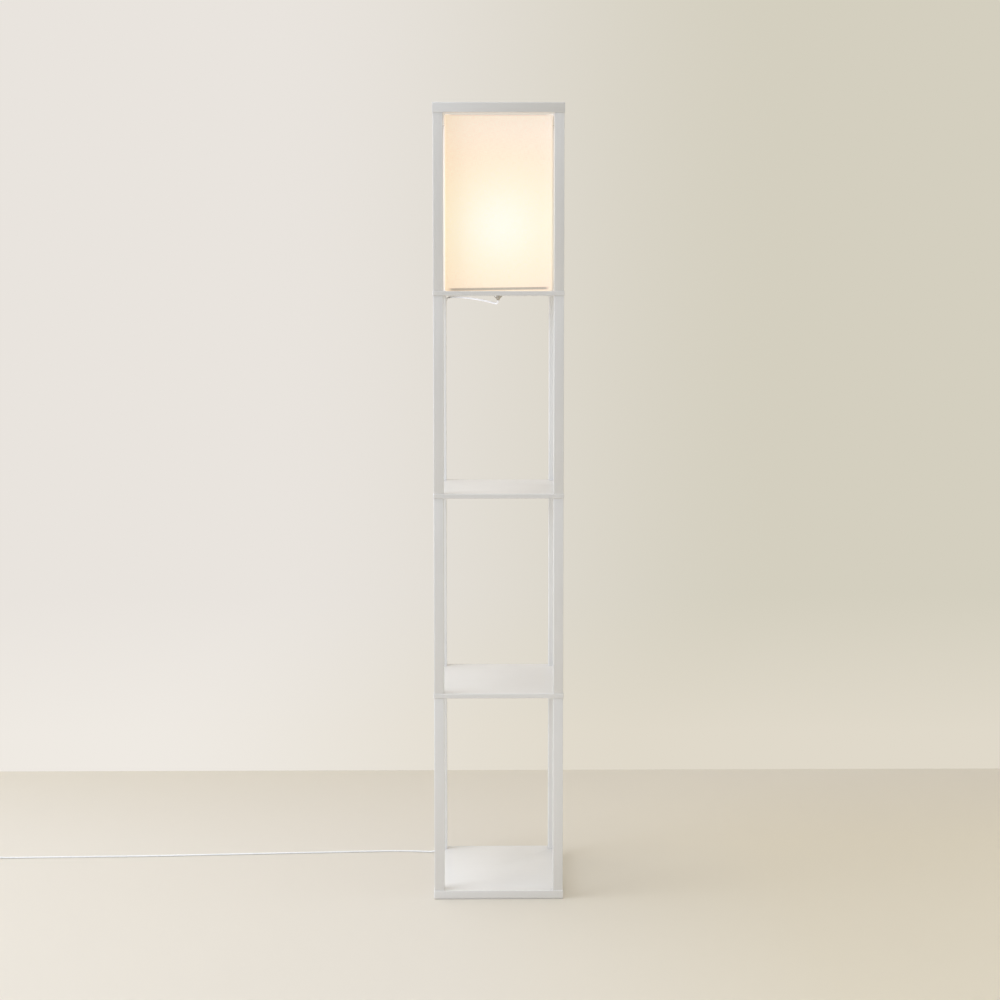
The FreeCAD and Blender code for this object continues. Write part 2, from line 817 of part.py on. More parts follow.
def make_bulb():
    turned(
        "bulb_cap",
        [
            (0, 0),
            (s.bulb_tip_radius, 0),
            (s.bulb_tip_radius, s.bulb_tip_height),
            (s.bulb_cap_radius - s.bulb_cap_chamfer, s.bulb_cone_height),
            (s.bulb_cap_radius, s.bulb_cone_height + s.bulb_cap_chamfer),
            (s.bulb_cap_radius, s.bulb_cap_height),
            (0, s.bulb_cap_height),
        ],
        z=bulb_bottom,
    )
    body_z = bulb_bottom + s.bulb_cap_height
    recess = s.bulb_body_height - s.board_recess
    board_radius = s.bulb_rim_radius - s.bulb_wall - s.board_recess / 2
    turned(
        "bulb_body",
        [
            (0, 0),
            (s.bulb_cap_radius, 0),
            (s.bulb_neck_radius, s.bulb_neck_height),
            (s.bulb_rim_radius, s.bulb_body_height),
            (s.bulb_rim_radius - s.bulb_wall, s.bulb_body_height),
            (board_radius, recess),
            (0, recess),
        ],
        z=body_z,
    )
    board = cylinder(
        "led_board", board_radius - s.board_clearance, s.board_thickness, 0, 0, body_z + recess
    )
    keep(board, "bulb_led_board")

    rim_z = body_z + s.bulb_body_height
    below = Size.of(math.sqrt(s.globe_radius.number**2 - s.bulb_rim_radius.number**2))
    below.text = (
        f"sqrt({s.globe_radius.text} * {s.globe_radius.text}"
        f" - {s.bulb_rim_radius.text} * {s.bulb_rim_radius.text})"
    )
    centre_z = rim_z + below
    ball = doc.addObject("Part::Sphere", "globe_ball")
    bind(ball, "Radius", s.globe_radius)
    place(ball, 0, 0, centre_z)
    hollow = doc.addObject("Part::Sphere", "globe_hollow")
    bind(hollow, "Radius", s.globe_radius - s.bulb_wall)
    place(hollow, 0, 0, centre_z)
    span = 3 * s.globe_radius
    trim = block("globe_trim", span, span, span, 0, 0, rim_z - span)
    keep(cut("globe", cut("globe_shell", ball, hollow), trim), "bulb_globe")


# --- Lead ----------------------------------------------------------------------------------

# The lead's route is chosen by hand, point by point, as the real one hangs and lies.
# Where it runs down the rear face of the rear left posts.
LEAD_DOWN = (-119.0, 132.9)
# Under the lamp shelf to its rear left corner, and down behind the rear left posts.
RISER_ROUTE = [
    (0.0, 0.0, 1203.9),
    (0.0, 0.0, 1200.4),
    (-1.6, 1.9, 1197.8),
    (-6.0, 7.0, 1197.2),
    (-14.5, 17.0, 1200.0),
    (-30.0, 35.2, 1203.6),
    (-51.0, 60.0, 1207.4),
    (-77.0, 90.0, 1210.3),
    (-99.0, 115.0, 1210.7),
    (-106.3, 129.5, 1209.4),
    (-110.5, 140.0, 1203.5),
    (-114.5, 144.0, 1192.5),
    (-117.5, 142.5, 1180.0),
    (-119.0, 137.5, 1166.0),
    (-119.0, 133.6, 1148.0),
    (*LEAD_DOWN, 1128.0),
    (*LEAD_DOWN, 45.0),
    (-120.0, 133.0, 28.0),
    (-124.0, 133.8, 14.0),
    (-132.0, 135.0, 5.2),
    (-143.0, 136.8, 1.85),
    (-155.0, 138.24, 1.85),
]
# Along the floor to the in-line switch.
FLOOR_ROUTE = [
    (-155.0, 138.24, 1.85),
    (-183.0, 141.6, 1.85),
    (-224.0, 143.4, 1.85),
    (-272.0, 141.6, 1.85),
    (-328.0, 138.9, 1.85),
    (-385.0, 135.3, 1.85),
    (-443.0, 133.0, 1.85),
    (-500.0, 129.9, 1.85),
    (-557.0, 127.2, 1.85),
    (-614.0, 123.9, 1.85),
    (-672.0, 121.4, 1.85),
    (-729.0, 118.2, 1.85),
    (-786.0, 116.0, 1.85),
    (-843.0, 114.9, 1.85),
    (-900.0, 112.9, 1.85),
    (-957.0, 112.2, 1.85),
    (-1013.0, 110.6, 1.85),
    (-1058.0, 109.1, 1.85),
    (-1088.0, 108.3, 2.9),
    (-1102.0, 108.0, 4.4),
    (-1112.0, 108.0, 4.4),
]
# From the switch to the coil.
TAIL_ROUTE = [
    (-1220.0, 108.0, 4.4),
    (-1227.0, 108.0, 4.4),
    (-1238.0, 108.0, 1.85),
    (-1245.0, 108.0, 1.85),
]
# The heights of the clips on the rear left posts.
CLIP_HEIGHTS = (1118.0, 780.0, 450.0, 75.0)


def corner_arc(start, corner, end):
    """The round arc that leaves start towards corner and reaches end, both equally far from it."""
    weight = (end - start).Length / (2 * (corner - start).Length)
    middle = (start + end + corner * (2 * weight)) * (0.5 / (1 + weight))
    return Part.Arc(start, middle, end).toShape()


def rounded_route(label, points):
    """Straight runs joined by tangent arcs as large as their runs allow. Prints the radii."""
    points = [Vector(*p) for p in points]
    edges = []
    radii = []
    at = points[0]
    for before, corner, after in zip(points, points[1:], points[2:]):
        trim = 0.45 * min((corner - before).Length, (after - corner).Length)
        turn = (corner - before).getAngle(after - corner)
        radii.append(trim / math.tan(turn / 2))
        start = corner + (before - corner).normalize() * trim
        end = corner + (after - corner).normalize() * trim
        edges.append(Part.LineSegment(at, start).toShape())
        edges.append(corner_arc(start, corner, end))
        at = end
    edges.append(Part.LineSegment(at, points[-1]).toShape())
    print(label, "radii", [round(r, 1) for r in radii])
    return Part.Wire(edges)


def swept(label, wire, radius):
    """A round tube along a wire. Its volume is its section times its length."""
    first = wire.Edges[0]
    start = first.valueAt(first.FirstParameter)
    heading = first.tangentAt(first.FirstParameter)
    section = Part.Wire(Part.Circle(start, heading, radius).toShape())
    solid = wire.makePipeShell([section], True, False)
    expected = math.pi * radius**2 * wire.Length
    print(label, "length", round(wire.Length, 1), "volume share", round(solid.Volume / expected, 4))
    obj = doc.addObject("Part::Feature", label)
    obj.Shape = solid
    return keep(obj, label)


def make_lead():
    inner_bottom = nut_tip
    inner_length = holder_bottom + s.nipple_in_cap + 2 - inner_bottom
    inner = cylinder("inner_lead", s.lead_radius, inner_length, 0, 0, inner_bottom)
    keep(inner, "lead_in_nipple")

    radius = s.lead_radius.number
    swept("lead_riser", rounded_route("lead_riser", RISER_ROUTE), radius)
    swept("lead_floor", rounded_route("lead_floor", FLOOR_ROUTE), radius)
    swept("lead_tail", rounded_route("lead_tail", TAIL_ROUTE), radius)

    clips = []
    rear_face = post_axis + s.post_width / 2
    depth = s.clip_standoff + lead_hole + s.clip_wall
    for number, z in enumerate(CLIP_HEIGHTS, start=1):
        blank = block(
            f"clip_blank_{number}",
            s.clip_width,
            depth,
            s.clip_height,
            -post_axis,
            rear_face + depth / 2,
            z,
        )
        clip_y = rear_face + s.clip_standoff
        bore = cylinder(f"clip_bore_{number}", lead_hole, s.clip_height, -post_axis, clip_y, z)
        clips.append(cut(f"clip_{number}", blank, bore))
    group("lead_clips", clips)


def coil_wire(centre, entry_z):
    """Two layers of half turns, in and out again, with a climb between them.

    Half turns swap between two centres, half a pitch apart, so each runs smoothly into the next.
    """
    pitch = s.coil_pitch.number
    half_turns = int(s.coil_half_turns.number)
    rise = s.coil_layer_rise.number
    stub = 2 * s.lead_radius.number
    radius = s.coil_radius.number
    side = 1
    at = Vector(centre.x, centre.y + radius, entry_z)
    edges = [Part.LineSegment(at + Vector(stub, 0, 0), at).toShape()]

    def half_turn(start, radius, side):
        middle = start + Vector(-side * radius, -side * radius, 0)
        end = start + Vector(0, -side * 2 * radius, 0)
        edges.append(Part.Arc(start, middle, end).toShape())
        return end

    for _ in range(half_turns):
        at = half_turn(at, radius, side)
        radius -= pitch / 2
        side = -side

    end = at + Vector(0, -side * 2 * radius, rise)
    reach = Vector(-side * (end - at).Length / 2, 0, 0)
    joint = (at + end) * 0.5 + reach
    edges.append(corner_arc(at, at + reach, joint))
    edges.append(corner_arc(joint, end + reach, end))
    at = end
    side = -side

    for _ in range(half_turns):
        radius += pitch / 2
        at = half_turn(at, radius, side)
        side = -side
    heading = Vector(side * -1.0, 0, 0)
    edges.append(Part.LineSegment(at, at + heading * stub).toShape())
    return Part.Wire(edges), at + heading * stub


def least_gap(wire, diameter):
    """The least gap between stretches of the coil that are over half a turn apart."""
    points = wire.discretize(Distance=1.5)
    step = wire.Length / (len(points) - 1)
    skip = int(math.pi * s.coil_radius.number * 0.8 / step)
    nearest = min(
        points[i].distanceToPoint(points[j])
        for i in range(len(points))
        for j in range(i + skip, len(points))
    )
    return nearest - diameter


def make_coil_and_plug():
    end = TAIL_ROUTE[-1]
    stub = 2 * s.lead_radius.number
    centre = Vector(end[0] - stub, end[1] - s.coil_radius.number, 0)
    wire, leaves = coil_wire(centre, end[2])
    print("lead_coil least gap to itself", round(least_gap(wire, 2 * s.lead_radius.number), 2))
    swept("lead_coil", wire, s.lead_radius.number)

    # The lead goes on from the coil's top layer to the plug, which lies beside the coil.
    axis_z = s.plug_height.number / 2
    route = [
        (leaves.x, leaves.y, leaves.z),
        (leaves.x + 5.0, leaves.y, leaves.z),
        (leaves.x + 12.0, leaves.y, axis_z),
        (leaves.x + 17.0, leaves.y, axis_z),
    ]
    swept("plug_lead", rounded_route("plug_lead", route), s.lead_radius.number)

    plug_x = route[-1][0]
    relief = doc.addObject("Part::Cone", "plug_relief")
    bind(relief, "Radius1", s.plug_relief_thin_radius)
    bind(relief, "Radius2", s.plug_relief_thick_radius)
    bind(relief, "Height", s.plug_relief_length)
    place(relief, plug_x, leaves.y, s.plug_height / 2)
    relief.Placement = FreeCAD.Placement(relief.Placement.Base, Rotation(Vector(0, 1, 0), 90))

    body_x = plug_x + s.plug_relief_length
    blank = block(
        "plug_blank",
        s.plug_length,
        s.plug_width,
        s.plug_height,
        body_x + s.plug_length / 2,
        leaves.y,
        0,
    )
    doc.recompute()
    blade_x = body_x + s.plug_length - s.blade_root
    slots = []
    blades = []
    for name, sign in (("near", -1), ("far", 1)):
        y = leaves.y + sign * s.blade_spacing / 2
        z = (s.plug_height - s.blade_width) / 2
        span = s.blade_root + s.blade_length
        for made, kind in ((slots, "slot"), (blades, "blade")):
            made.append(
                block(
                    f"{kind}_{name}",
                    span,
                    s.blade_thickness,
                    s.blade_width,
                    blade_x + span / 2,
                    y,
                    z,
                )
            )
    rounded = doc.addObject("Part::Fillet", "plug_rounded")
    rounded.Base = blank
    radius = s.plug_round.number
    rounded.Edges = [(i, radius, radius) for i in range(1, len(blank.Shape.Edges) + 1)]
    moulded = fused("plug_moulded", [rounded, relief])
    keep(cut("plug", moulded, fused("blade_slots", slots)), "plug_body")
    group("plug_blades", blades)


# --- In-line switch ------------------------------------------------------------------------


def make_switch():
    """A two-part housing on the lead with a rocker on stub axles."""
    lead_end = FLOOR_ROUTE[-1]
    middle_x = lead_end[0] - s.relief_length - s.switch_length / 2
    middle_y = Size.of(lead_end[1])
    at = {"x": middle_x, "y": middle_y}
    wall = s.switch_wall
    inside = [s.switch_length - 2 * wall, s.switch_width - 2 * wall]
    base_shell = s.switch_base_height - s.switch_seam
    cover_height = s.switch_cover_height
    screws = [(sign * s.screw_offset, 0) for sign in SIGNS]
    pivot_z = s.switch_base_height + cover_height - s.rocker_drop

    base = new_body("switch_base", z=0, **at)
    pad(base, rectangle(base, "outline", s.switch_length, s.switch_width), base_shell)
    round_edges(base, "corners", s.switch_corner_round, is_along("z"))
    cavity = rectangle(base, "cavity", *inside, base_shell)
    pocket(base, cavity, base_shell - 2 * wall)
    head_hole = s.screw_head_radius + s.screw_clearance
    pocket(base, circles(base, "screw_holes", s.screw_radius + s.screw_clearance, screws), 2 * wall, True)
    pocket(base, circles(base, "head_holes", head_hole, screws), s.screw_head_height, True)

    cover = new_body("switch_cover", z=s.switch_base_height, **at)
    pad(cover, rectangle(cover, "outline", s.switch_length, s.switch_width), cover_height)
    round_edges(cover, "corners", s.switch_corner_round, is_along("z"))
    round_edges(cover, "edges", s.switch_edge_round, is_at_height(cover_height))
    roof = cover_height - wall
    pocket(cover, rectangle(cover, "cavity", *inside), roof, True)
    bosses = circles(cover, "bosses", s.boss_radius, screws)
    pad(cover, bosses, roof + wall / 2)
    well_outer = [s.window_length + 2 * wall, s.window_width + 2 * wall]
    well_bottom = cover_height - s.well_depth
    pad(cover, rectangle(cover, "well", *well_outer, well_bottom), roof + wall / 2 - well_bottom)
    window = rectangle(cover, "window", s.window_length, s.window_width)
    pocket(cover, window, cover_height, True)
    thread_hole = s.screw_radius + s.screw_clearance / 2
    pocket(cover, circles(cover, "threads", thread_hole, screws), roof - wall / 2, True)
    axle_hole = s.axle_radius + s.axle_clearance
    axle_z = cover_height - s.rocker_drop
    axle_span = s.window_width + 2 * s.axle_length + 2 * s.axle_clearance
    across = circles(cover, "axle_holes", axle_hole, [(0, axle_z)], -axle_span / 2, "XZ_Plane")
    pocket(cover, across, axle_span, True)

    rocker = new_body("switch_rocker", middle_x, middle_y, pivot_z)
    half = s.window_length / 2 - s.rocker_clearance - s.rocker_wing / 2
    profile = outline(
        rocker,
        "profile",
        [
            (-half, -s.rocker_depth),
            (half, -s.rocker_depth),
            (half, s.rocker_height + s.rocker_wing),
            (0, s.rocker_height),
            (-half, s.rocker_height + s.rocker_wing),
        ],
    )
    pad(rocker, profile, s.window_width - 2 * s.rocker_clearance, midplane=True)
    axle = circles(rocker, "axle", s.axle_radius, [(0, 0)], 0, "XZ_Plane")
    pad(rocker, axle, s.window_width + 2 * s.axle_length, midplane=True)
    tilt = Rotation(Vector(0, 1, 0), s.rocker_tilt.number)
    rocker.Placement = FreeCAD.Placement(rocker.Placement.Base, tilt)
    bind(rocker, "Placement.Rotation.Angle", s.rocker_tilt)

    reliefs = []
    for name, sign in (("lamp_side", 1), ("plug_side", -1)):
        relief = doc.addObject("Part::Cone", f"relief_{name}")
        bind(relief, "Radius1", s.relief_thick_radius)
        bind(relief, "Radius2", s.relief_thin_radius)
        bind(relief, "Height", s.relief_length)
        place(relief, middle_x + sign * s.switch_length / 2, middle_y, s.relief_axis_height)
        turn = Rotation(Vector(0, 1, 0), sign * 90)
        relief.Placement = FreeCAD.Placement(relief.Placement.Base, turn)
        reliefs.append(relief)
    group("switch_reliefs", reliefs)

    made = []
    for name, (x, y) in zip(("far", "near"), screws):
        head = cylinder(
            f"screw_head_{name}",
            s.screw_head_radius,
            s.screw_head_height - s.screw_clearance,
            middle_x + x,
            middle_y,
            s.screw_clearance,
        )
        shank = cylinder(
            f"screw_shank_{name}",
            s.screw_radius,
            s.screw_length,
            middle_x + x,
            middle_y,
            s.screw_head_height,
        )
        made.append(fused(f"screw_{name}", [head, shank]))
    group("switch_screws", made)


def write_parts():
    """Checks every object, then writes each sub-part to its own file."""
    doc.recompute()
    for obj in doc.Objects:
        if any(word in obj.State for word in ("Invalid", "Error")):
            raise RuntimeError(f"{obj.Label} failed: {obj.State}")
    for part in parts:
        if part.Shape.isNull() or not part.Shape.isValid():
            raise RuntimeError(f"{part.Label} has no valid shape")
    os.makedirs("parts", exist_ok=True)
    for part in parts:
        part.Shape.exportStep(f"parts/{part.Label}.step")
        box = part.Shape.BoundBox
        print(
            f"{part.Label:26s} solids {len(part.Shape.Solids):3d}",
            f"x {box.XMin:8.1f} {box.XMax:8.1f}  y {box.YMin:7.1f} {box.YMax:7.1f}",
            f" z {box.ZMin:7.1f} {box.ZMax:7.1f}",
        )
    print(len(parts), "nodes")


make_base()
made_tiers = make_posts()
make_shelves()
make_top_frame()
make_fixings(made_tiers)
make_shade()
make_lampholder()
make_bulb()
make_lead()
make_switch()
make_coil_and_plug()
write_parts()
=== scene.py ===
"""Shelf floor lamp: a square white tower of open shelves with a lit fabric shade in its top bay.

Metres, +Z up, front towards -Y. The origin is on the floor, under the middle of the base.
"""

import json
import logging
import math
from collections.abc import Callable, Iterator, Sequence
from contextlib import contextmanager
from dataclasses import dataclass
from enum import Enum
from typing import Any

import bmesh
import bpy
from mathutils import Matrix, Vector

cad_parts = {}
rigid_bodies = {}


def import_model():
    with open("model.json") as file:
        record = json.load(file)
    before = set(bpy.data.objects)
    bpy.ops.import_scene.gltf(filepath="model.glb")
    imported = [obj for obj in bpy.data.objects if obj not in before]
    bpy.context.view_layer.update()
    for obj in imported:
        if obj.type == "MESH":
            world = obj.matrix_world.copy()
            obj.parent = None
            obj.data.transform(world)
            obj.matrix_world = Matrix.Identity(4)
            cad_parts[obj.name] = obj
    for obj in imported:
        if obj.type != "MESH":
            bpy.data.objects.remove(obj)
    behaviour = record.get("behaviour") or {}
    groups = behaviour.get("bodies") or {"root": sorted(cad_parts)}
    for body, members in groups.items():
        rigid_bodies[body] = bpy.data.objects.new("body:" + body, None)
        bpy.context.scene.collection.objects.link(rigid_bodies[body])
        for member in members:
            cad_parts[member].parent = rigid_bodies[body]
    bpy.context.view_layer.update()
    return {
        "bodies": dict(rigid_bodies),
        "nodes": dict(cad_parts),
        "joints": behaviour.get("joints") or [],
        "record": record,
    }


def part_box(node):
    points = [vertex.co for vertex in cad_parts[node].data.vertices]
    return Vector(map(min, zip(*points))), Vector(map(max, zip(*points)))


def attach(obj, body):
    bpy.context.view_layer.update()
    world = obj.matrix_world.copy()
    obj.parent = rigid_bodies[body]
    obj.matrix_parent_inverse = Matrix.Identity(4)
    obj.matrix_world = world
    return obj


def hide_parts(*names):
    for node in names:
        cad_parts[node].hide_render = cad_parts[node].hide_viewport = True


log = logging.getLogger("lamp")

Point = tuple[float, float, float]
Colour = tuple[float, float, float]
Range = tuple[float, float]

# How close doubled points are, in a piece made here and in a CAD piece's own mesh.
WELD = 0.00001
WELD_CAD = 0.000002
# A CAD piece's faces that turn less than this are one flat face.
FLAT = math.radians(0.4)
# A CAD piece's edges that turn more than this are eased.
SHARP = math.radians(50)


# --- Modelling by hand ----------------------------------------------------------------------


def activate(*objects: bpy.types.Object) -> None:
    """Selects these objects and nothing else, and makes the first one active."""
    for obj in bpy.context.selected_objects:
        obj.select_set(False)
    for obj in objects:
        obj.select_set(True)
    bpy.context.view_layer.objects.active = objects[0]


def added(name: str, data: bpy.types.ID) -> bpy.types.Object:
    """A new object in the scene for a mesh, a curve, a light or a camera."""
    obj = bpy.data.objects.new(name, data)
    bpy.context.scene.collection.objects.link(obj)
    return obj


def take(obj: bpy.types.Object, name: str) -> bpy.types.Object:
    """Names an object and its data.

    Args:
        obj: The object to name.
        name: The piece's name.

    Returns:
        The same object.
    """
    obj.name = name
    obj.data.name = name
    return obj


@contextmanager
def editing(obj: bpy.types.Object, kind: str = "FACE") -> Iterator[None]:
    """Opens one object in edit mode with nothing selected, and closes it again.

    Args:
        obj: The object to edit.
        kind: What is selected in it, "VERT", "EDGE" or "FACE".
    """
    activate(obj)
    bpy.ops.object.mode_set(mode="EDIT")
    bpy.ops.mesh.select_mode(type=kind)
    bpy.ops.mesh.select_all(action="DESELECT")
    try:
        yield
    finally:
        bpy.ops.object.mode_set(mode="OBJECT")


def pick_faces(obj: bpy.types.Object, wanted: Callable[[Vector, Vector], bool]) -> None:
    """Selects the faces of an object in edit mode by their middle and normal.

    Args:
        obj: The object in edit mode.
        wanted: Takes a face's middle and its normal.
    """
    mesh = bmesh.from_edit_mesh(obj.data)
    mesh.normal_update()
    for face in mesh.faces:
        face.select_set(wanted(face.calc_center_median(), face.normal))
    bmesh.update_edit_mesh(obj.data)


def pick_edges(obj: bpy.types.Object, wanted: Callable[[Vector, Vector], bool]) -> None:
    """Selects the edges of an object in edit mode by their two ends.

    Args:
        obj: The object in edit mode.
        wanted: Takes the edge's two ends.
    """
    mesh = bmesh.from_edit_mesh(obj.data)
    for edge in mesh.edges:
        edge.select_set(wanted(edge.verts[0].co, edge.verts[1].co))
    bmesh.update_edit_mesh(obj.data)


def apply_modifier(obj: bpy.types.Object, kind: str, **settings: Any) -> None:
    """Adds a modifier to an object and applies it.

    Args:
        obj: The object.
        kind: The modifier's type.
        **settings: Its properties.
    """
    modifier = obj.modifiers.new(kind.lower(), kind)
    for name, value in settings.items():
        setattr(modifier, name, value)
    activate(obj)
    bpy.ops.object.modifier_apply(modifier=modifier.name)


def smooth(obj: bpy.types.Object, degrees: float = 35.0) -> bpy.types.Object:
    """Shades an object smooth except over edges sharper than the angle."""
    activate(obj)
    bpy.ops.object.shade_smooth_by_angle(angle=math.radians(degrees))
    return obj


def soften(obj: bpy.types.Object, width: float, segments: int = 2, **settings: Any) -> None:
    """Rounds an object's sharp edges.

    Args:
        obj: The object.
        width: How far the rounding reaches from each edge.
        segments: How many steps it has.
        **settings: The modifier's other properties.
    """
    apply_modifier(obj, "BEVEL", width=width, segments=segments, limit_method="ANGLE", **settings)


def turn_solid() -> None:
    """Merges doubled points of the object in edit mode and turns its faces outwards."""
    bpy.ops.mesh.select_all(action="SELECT")
    bpy.ops.mesh.remove_doubles(threshold=WELD)
    bpy.ops.mesh.normals_make_consistent(inside=False)


def chain(name: str, points: Sequence[Point]) -> bpy.types.Object:
    """Points joined one after the other.

    Args:
        name: The piece's name.
        points: The points.

    Returns:
        The line.
    """
    mesh = bpy.data.meshes.new(name)
    mesh.from_pydata(points, [(i, i + 1) for i in range(len(points) - 1)], [])
    return added(name, mesh)


def spun(
    name: str, profile: Sequence[tuple[float, float]], height: float = 0.0, steps: int = 48
) -> bpy.types.Object:
    """A shape turned about the lamp's upright axis.

    Args:
        name: The piece's name.
        profile: Its section as radius and height, in metres.
        height: How far it is lifted.
        steps: How many faces go round.

    Returns:
        The piece.
    """
    obj = chain(name, [(radius, 0.0, z + height) for radius, z in profile])
    with editing(obj, "VERT"):
        bpy.ops.mesh.select_all(action="SELECT")
        bpy.ops.mesh.spin(steps=steps, angle=math.tau, center=(0, 0, 0), axis=(0, 0, 1))
        turn_solid()
    return obj


def bake_place(obj: bpy.types.Object) -> bpy.types.Object:
    """Moves an object's place into its mesh, so the object sits unturned at the origin."""
    activate(obj)
    bpy.ops.object.transform_apply(location=True, rotation=True, scale=True)
    return obj


def stretched(obj: bpy.types.Object, factors: Sequence[float]) -> bpy.types.Object:
    """Stretches a new object about its own middle, and moves its place into its mesh."""
    with editing(obj):
        bpy.ops.mesh.select_all(action="SELECT")
        bpy.ops.transform.resize(value=factors)
    return bake_place(obj)


def box(name: str, low: Sequence[float], high: Sequence[float]) -> bpy.types.Object:
    """A box between two corners, as a start for a piece.

    Args:
        name: The piece's name.
        low: Its lowest corner.
        high: Its highest corner.

    Returns:
        The box.
    """
    middle = [(a + b) / 2 for a, b in zip(low, high)]
    bpy.ops.mesh.primitive_cube_add(size=1, location=middle)
    return stretched(take(bpy.context.object, name), [b - a for a, b in zip(low, high)])


def cut_across(axis: int, places: Sequence[float]) -> None:
    """Cuts the faces of the object in edit mode along flat planes, and removes nothing.

    Args:
        axis: 0, 1 or 2 for planes across X, Y or Z.
        places: Where the planes are on that axis.
    """
    normal = [float(number == axis) for number in range(3)]
    for place in places:
        bpy.ops.mesh.select_all(action="SELECT")
        bpy.ops.mesh.bisect(plane_co=[place * value for value in normal], plane_no=normal)


def raise_faces(distance: float, rim: float = 0.0) -> None:
    """Raises the selected faces along their normals, or sinks them.

    Args:
        distance: How far, less than 0 to sink them.
        rim: How far inside their edge the raised part starts.
    """
    if rim:
        bpy.ops.mesh.inset(thickness=rim)
    bpy.ops.mesh.extrude_region_shrink_fatten(TRANSFORM_OT_shrink_fatten={"value": distance})


def column(middle: Vector, steps: int) -> int:
    """Which of the columns of faces round a turned piece a point is on."""
    return int((math.atan2(middle.y, middle.x) % math.tau) / math.tau * steps)


def copied(node: bpy.types.Object, name: str) -> bpy.types.Object:
    """A copy of a CAD piece with its own merged mesh, to be shaped further.

    Args:
        node: The CAD piece.
        name: The copy's name.

    Returns:
        The copy.
    """
    obj = take(added(name, node.data.copy()), name)
    with editing(obj):
        bpy.ops.mesh.select_all(action="SELECT")
        bpy.ops.mesh.remove_doubles(threshold=WELD_CAD)
        bpy.ops.mesh.select_all(action="SELECT")
        bpy.ops.mesh.dissolve_limited(angle_limit=FLAT)
    return obj


def eased(node: bpy.types.Object, name: str, width: float, segments: int = 2) -> bpy.types.Object:
    """A copy of a CAD piece with its sharp edges eased.

    Args:
        node: The CAD piece.
        name: The copy's name.
        width: How far the easing reaches from each edge.
        segments: How many steps it has.

    Returns:
        The copy.
    """
    obj = copied(node, name)
    soften(obj, width, segments, angle_limit=SHARP, use_clamp_overlap=False)
    return smooth(obj, 40)


def threaded(
    name: str, radius: float, depth: float, pitch: float, low: float, high: float, ends: bool
) -> bpy.types.Object:
    """A rolled round thread about the lamp's upright axis.

    Args:
        name: The piece's name.
        radius: The radius over its crests.
        depth: How deep it is.
        pitch: How far it climbs in a turn.
        low: Where it starts.
        high: Where it ends.
        ends: Whether its ends are closed.

    Returns:
        The thread.
    """
    steps, around = 8, 48
    points = [
        (
            radius - depth * (0.5 - 0.5 * math.cos(math.tau * i / steps)),
            0.0,
            low - pitch + pitch * i / steps,
        )
        for i in range(steps + 1)
    ]
    obj = chain(name, points)
    apply_modifier(
        obj,
        "SCREW",
        angle=math.tau,
        screw_offset=pitch,
        iterations=math.ceil((high - low) / pitch) + 2,
        steps=around,
        render_steps=around,
    )
    with editing(obj):
        for height, side in ((high, "clear_outer"), (low, "clear_inner")):
            turn_solid()
            bpy.ops.mesh.select_all(action="SELECT")
            bpy.ops.mesh.bisect(
                plane_co=(0, 0, height), plane_no=(0, 0, 1), use_fill=ends, **{side: True}
            )
        turn_solid()
    return obj


def ribbed_relief(
    name: str, place: Point, towards: int, length: float, thick: float, thin: float, ribs: int
) -> bpy.types.Object:
    """A tapered strain relief with grooves round it, along X.

    Args:
        name: The piece's name.
        place: The middle of its thick end.
        towards: 1 where it points to +X, and -1 where it points to -X.
        length: Its length.
        thick: Its radius at the housing.
        thin: Its radius at its free end.
        ribs: How many ribs it has.

    Returns:
        The strain relief.
    """
    bore, groove = 0.00185, 0.14 * (thick + thin)
    start, rest, edge, chamfer = 0.0022, 0.0016, 0.0004, 0.0003
    # Where a groove is down, where its bottom ends and where it is up, as shares of the pitch.
    down, bottom_ends, up = 0.12, 0.40, 0.52
    pitch = (length - start - rest) / ribs

    def radius(along: float) -> float:
        """The radius over the ribs."""
        return thick + (thin - thick) * along / length

    profile = [(bore, 0.0), (thick, 0.0), (radius(start), start)]
    for number in range(ribs):
        along = start + number * pitch
        bottom = radius(along) - groove / 2
        profile += [
            (bottom, along + down * pitch),
            (bottom, along + bottom_ends * pitch),
            (radius(along + up * pitch), along + up * pitch),
            (radius(along + pitch), along + pitch),
        ]
    profile += [(thin, length - edge), (thin - chamfer, length), (bore, length), (bore, 0.0)]
    obj = spun(name, profile, 0.0, 32)
    obj.rotation_euler = (0.0, towards * math.pi / 2, 0.0)
    obj.location = place
    return smooth(bake_place(obj), 30)


def dress(
    obj: bpy.types.Object, material: bpy.types.Material, body: str
) -> bpy.types.Object:
    """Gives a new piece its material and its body.

    Args:
        obj: The piece.
        material: Its material.
        body: The CAD body that it rides on.

    Returns:
        The same piece.
    """
    obj.data.materials.clear()
    obj.data.materials.append(material)
    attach(obj, body)
    log.info("%s rides on %s, finish %s", obj.name, body, material.name)
    return obj


# --- Finishes -------------------------------------------------------------------------------


def dimmed(colour: Colour, share: float) -> Colour:
    """A colour at a share of its brightness."""
    return tuple(share * value for value in colour)


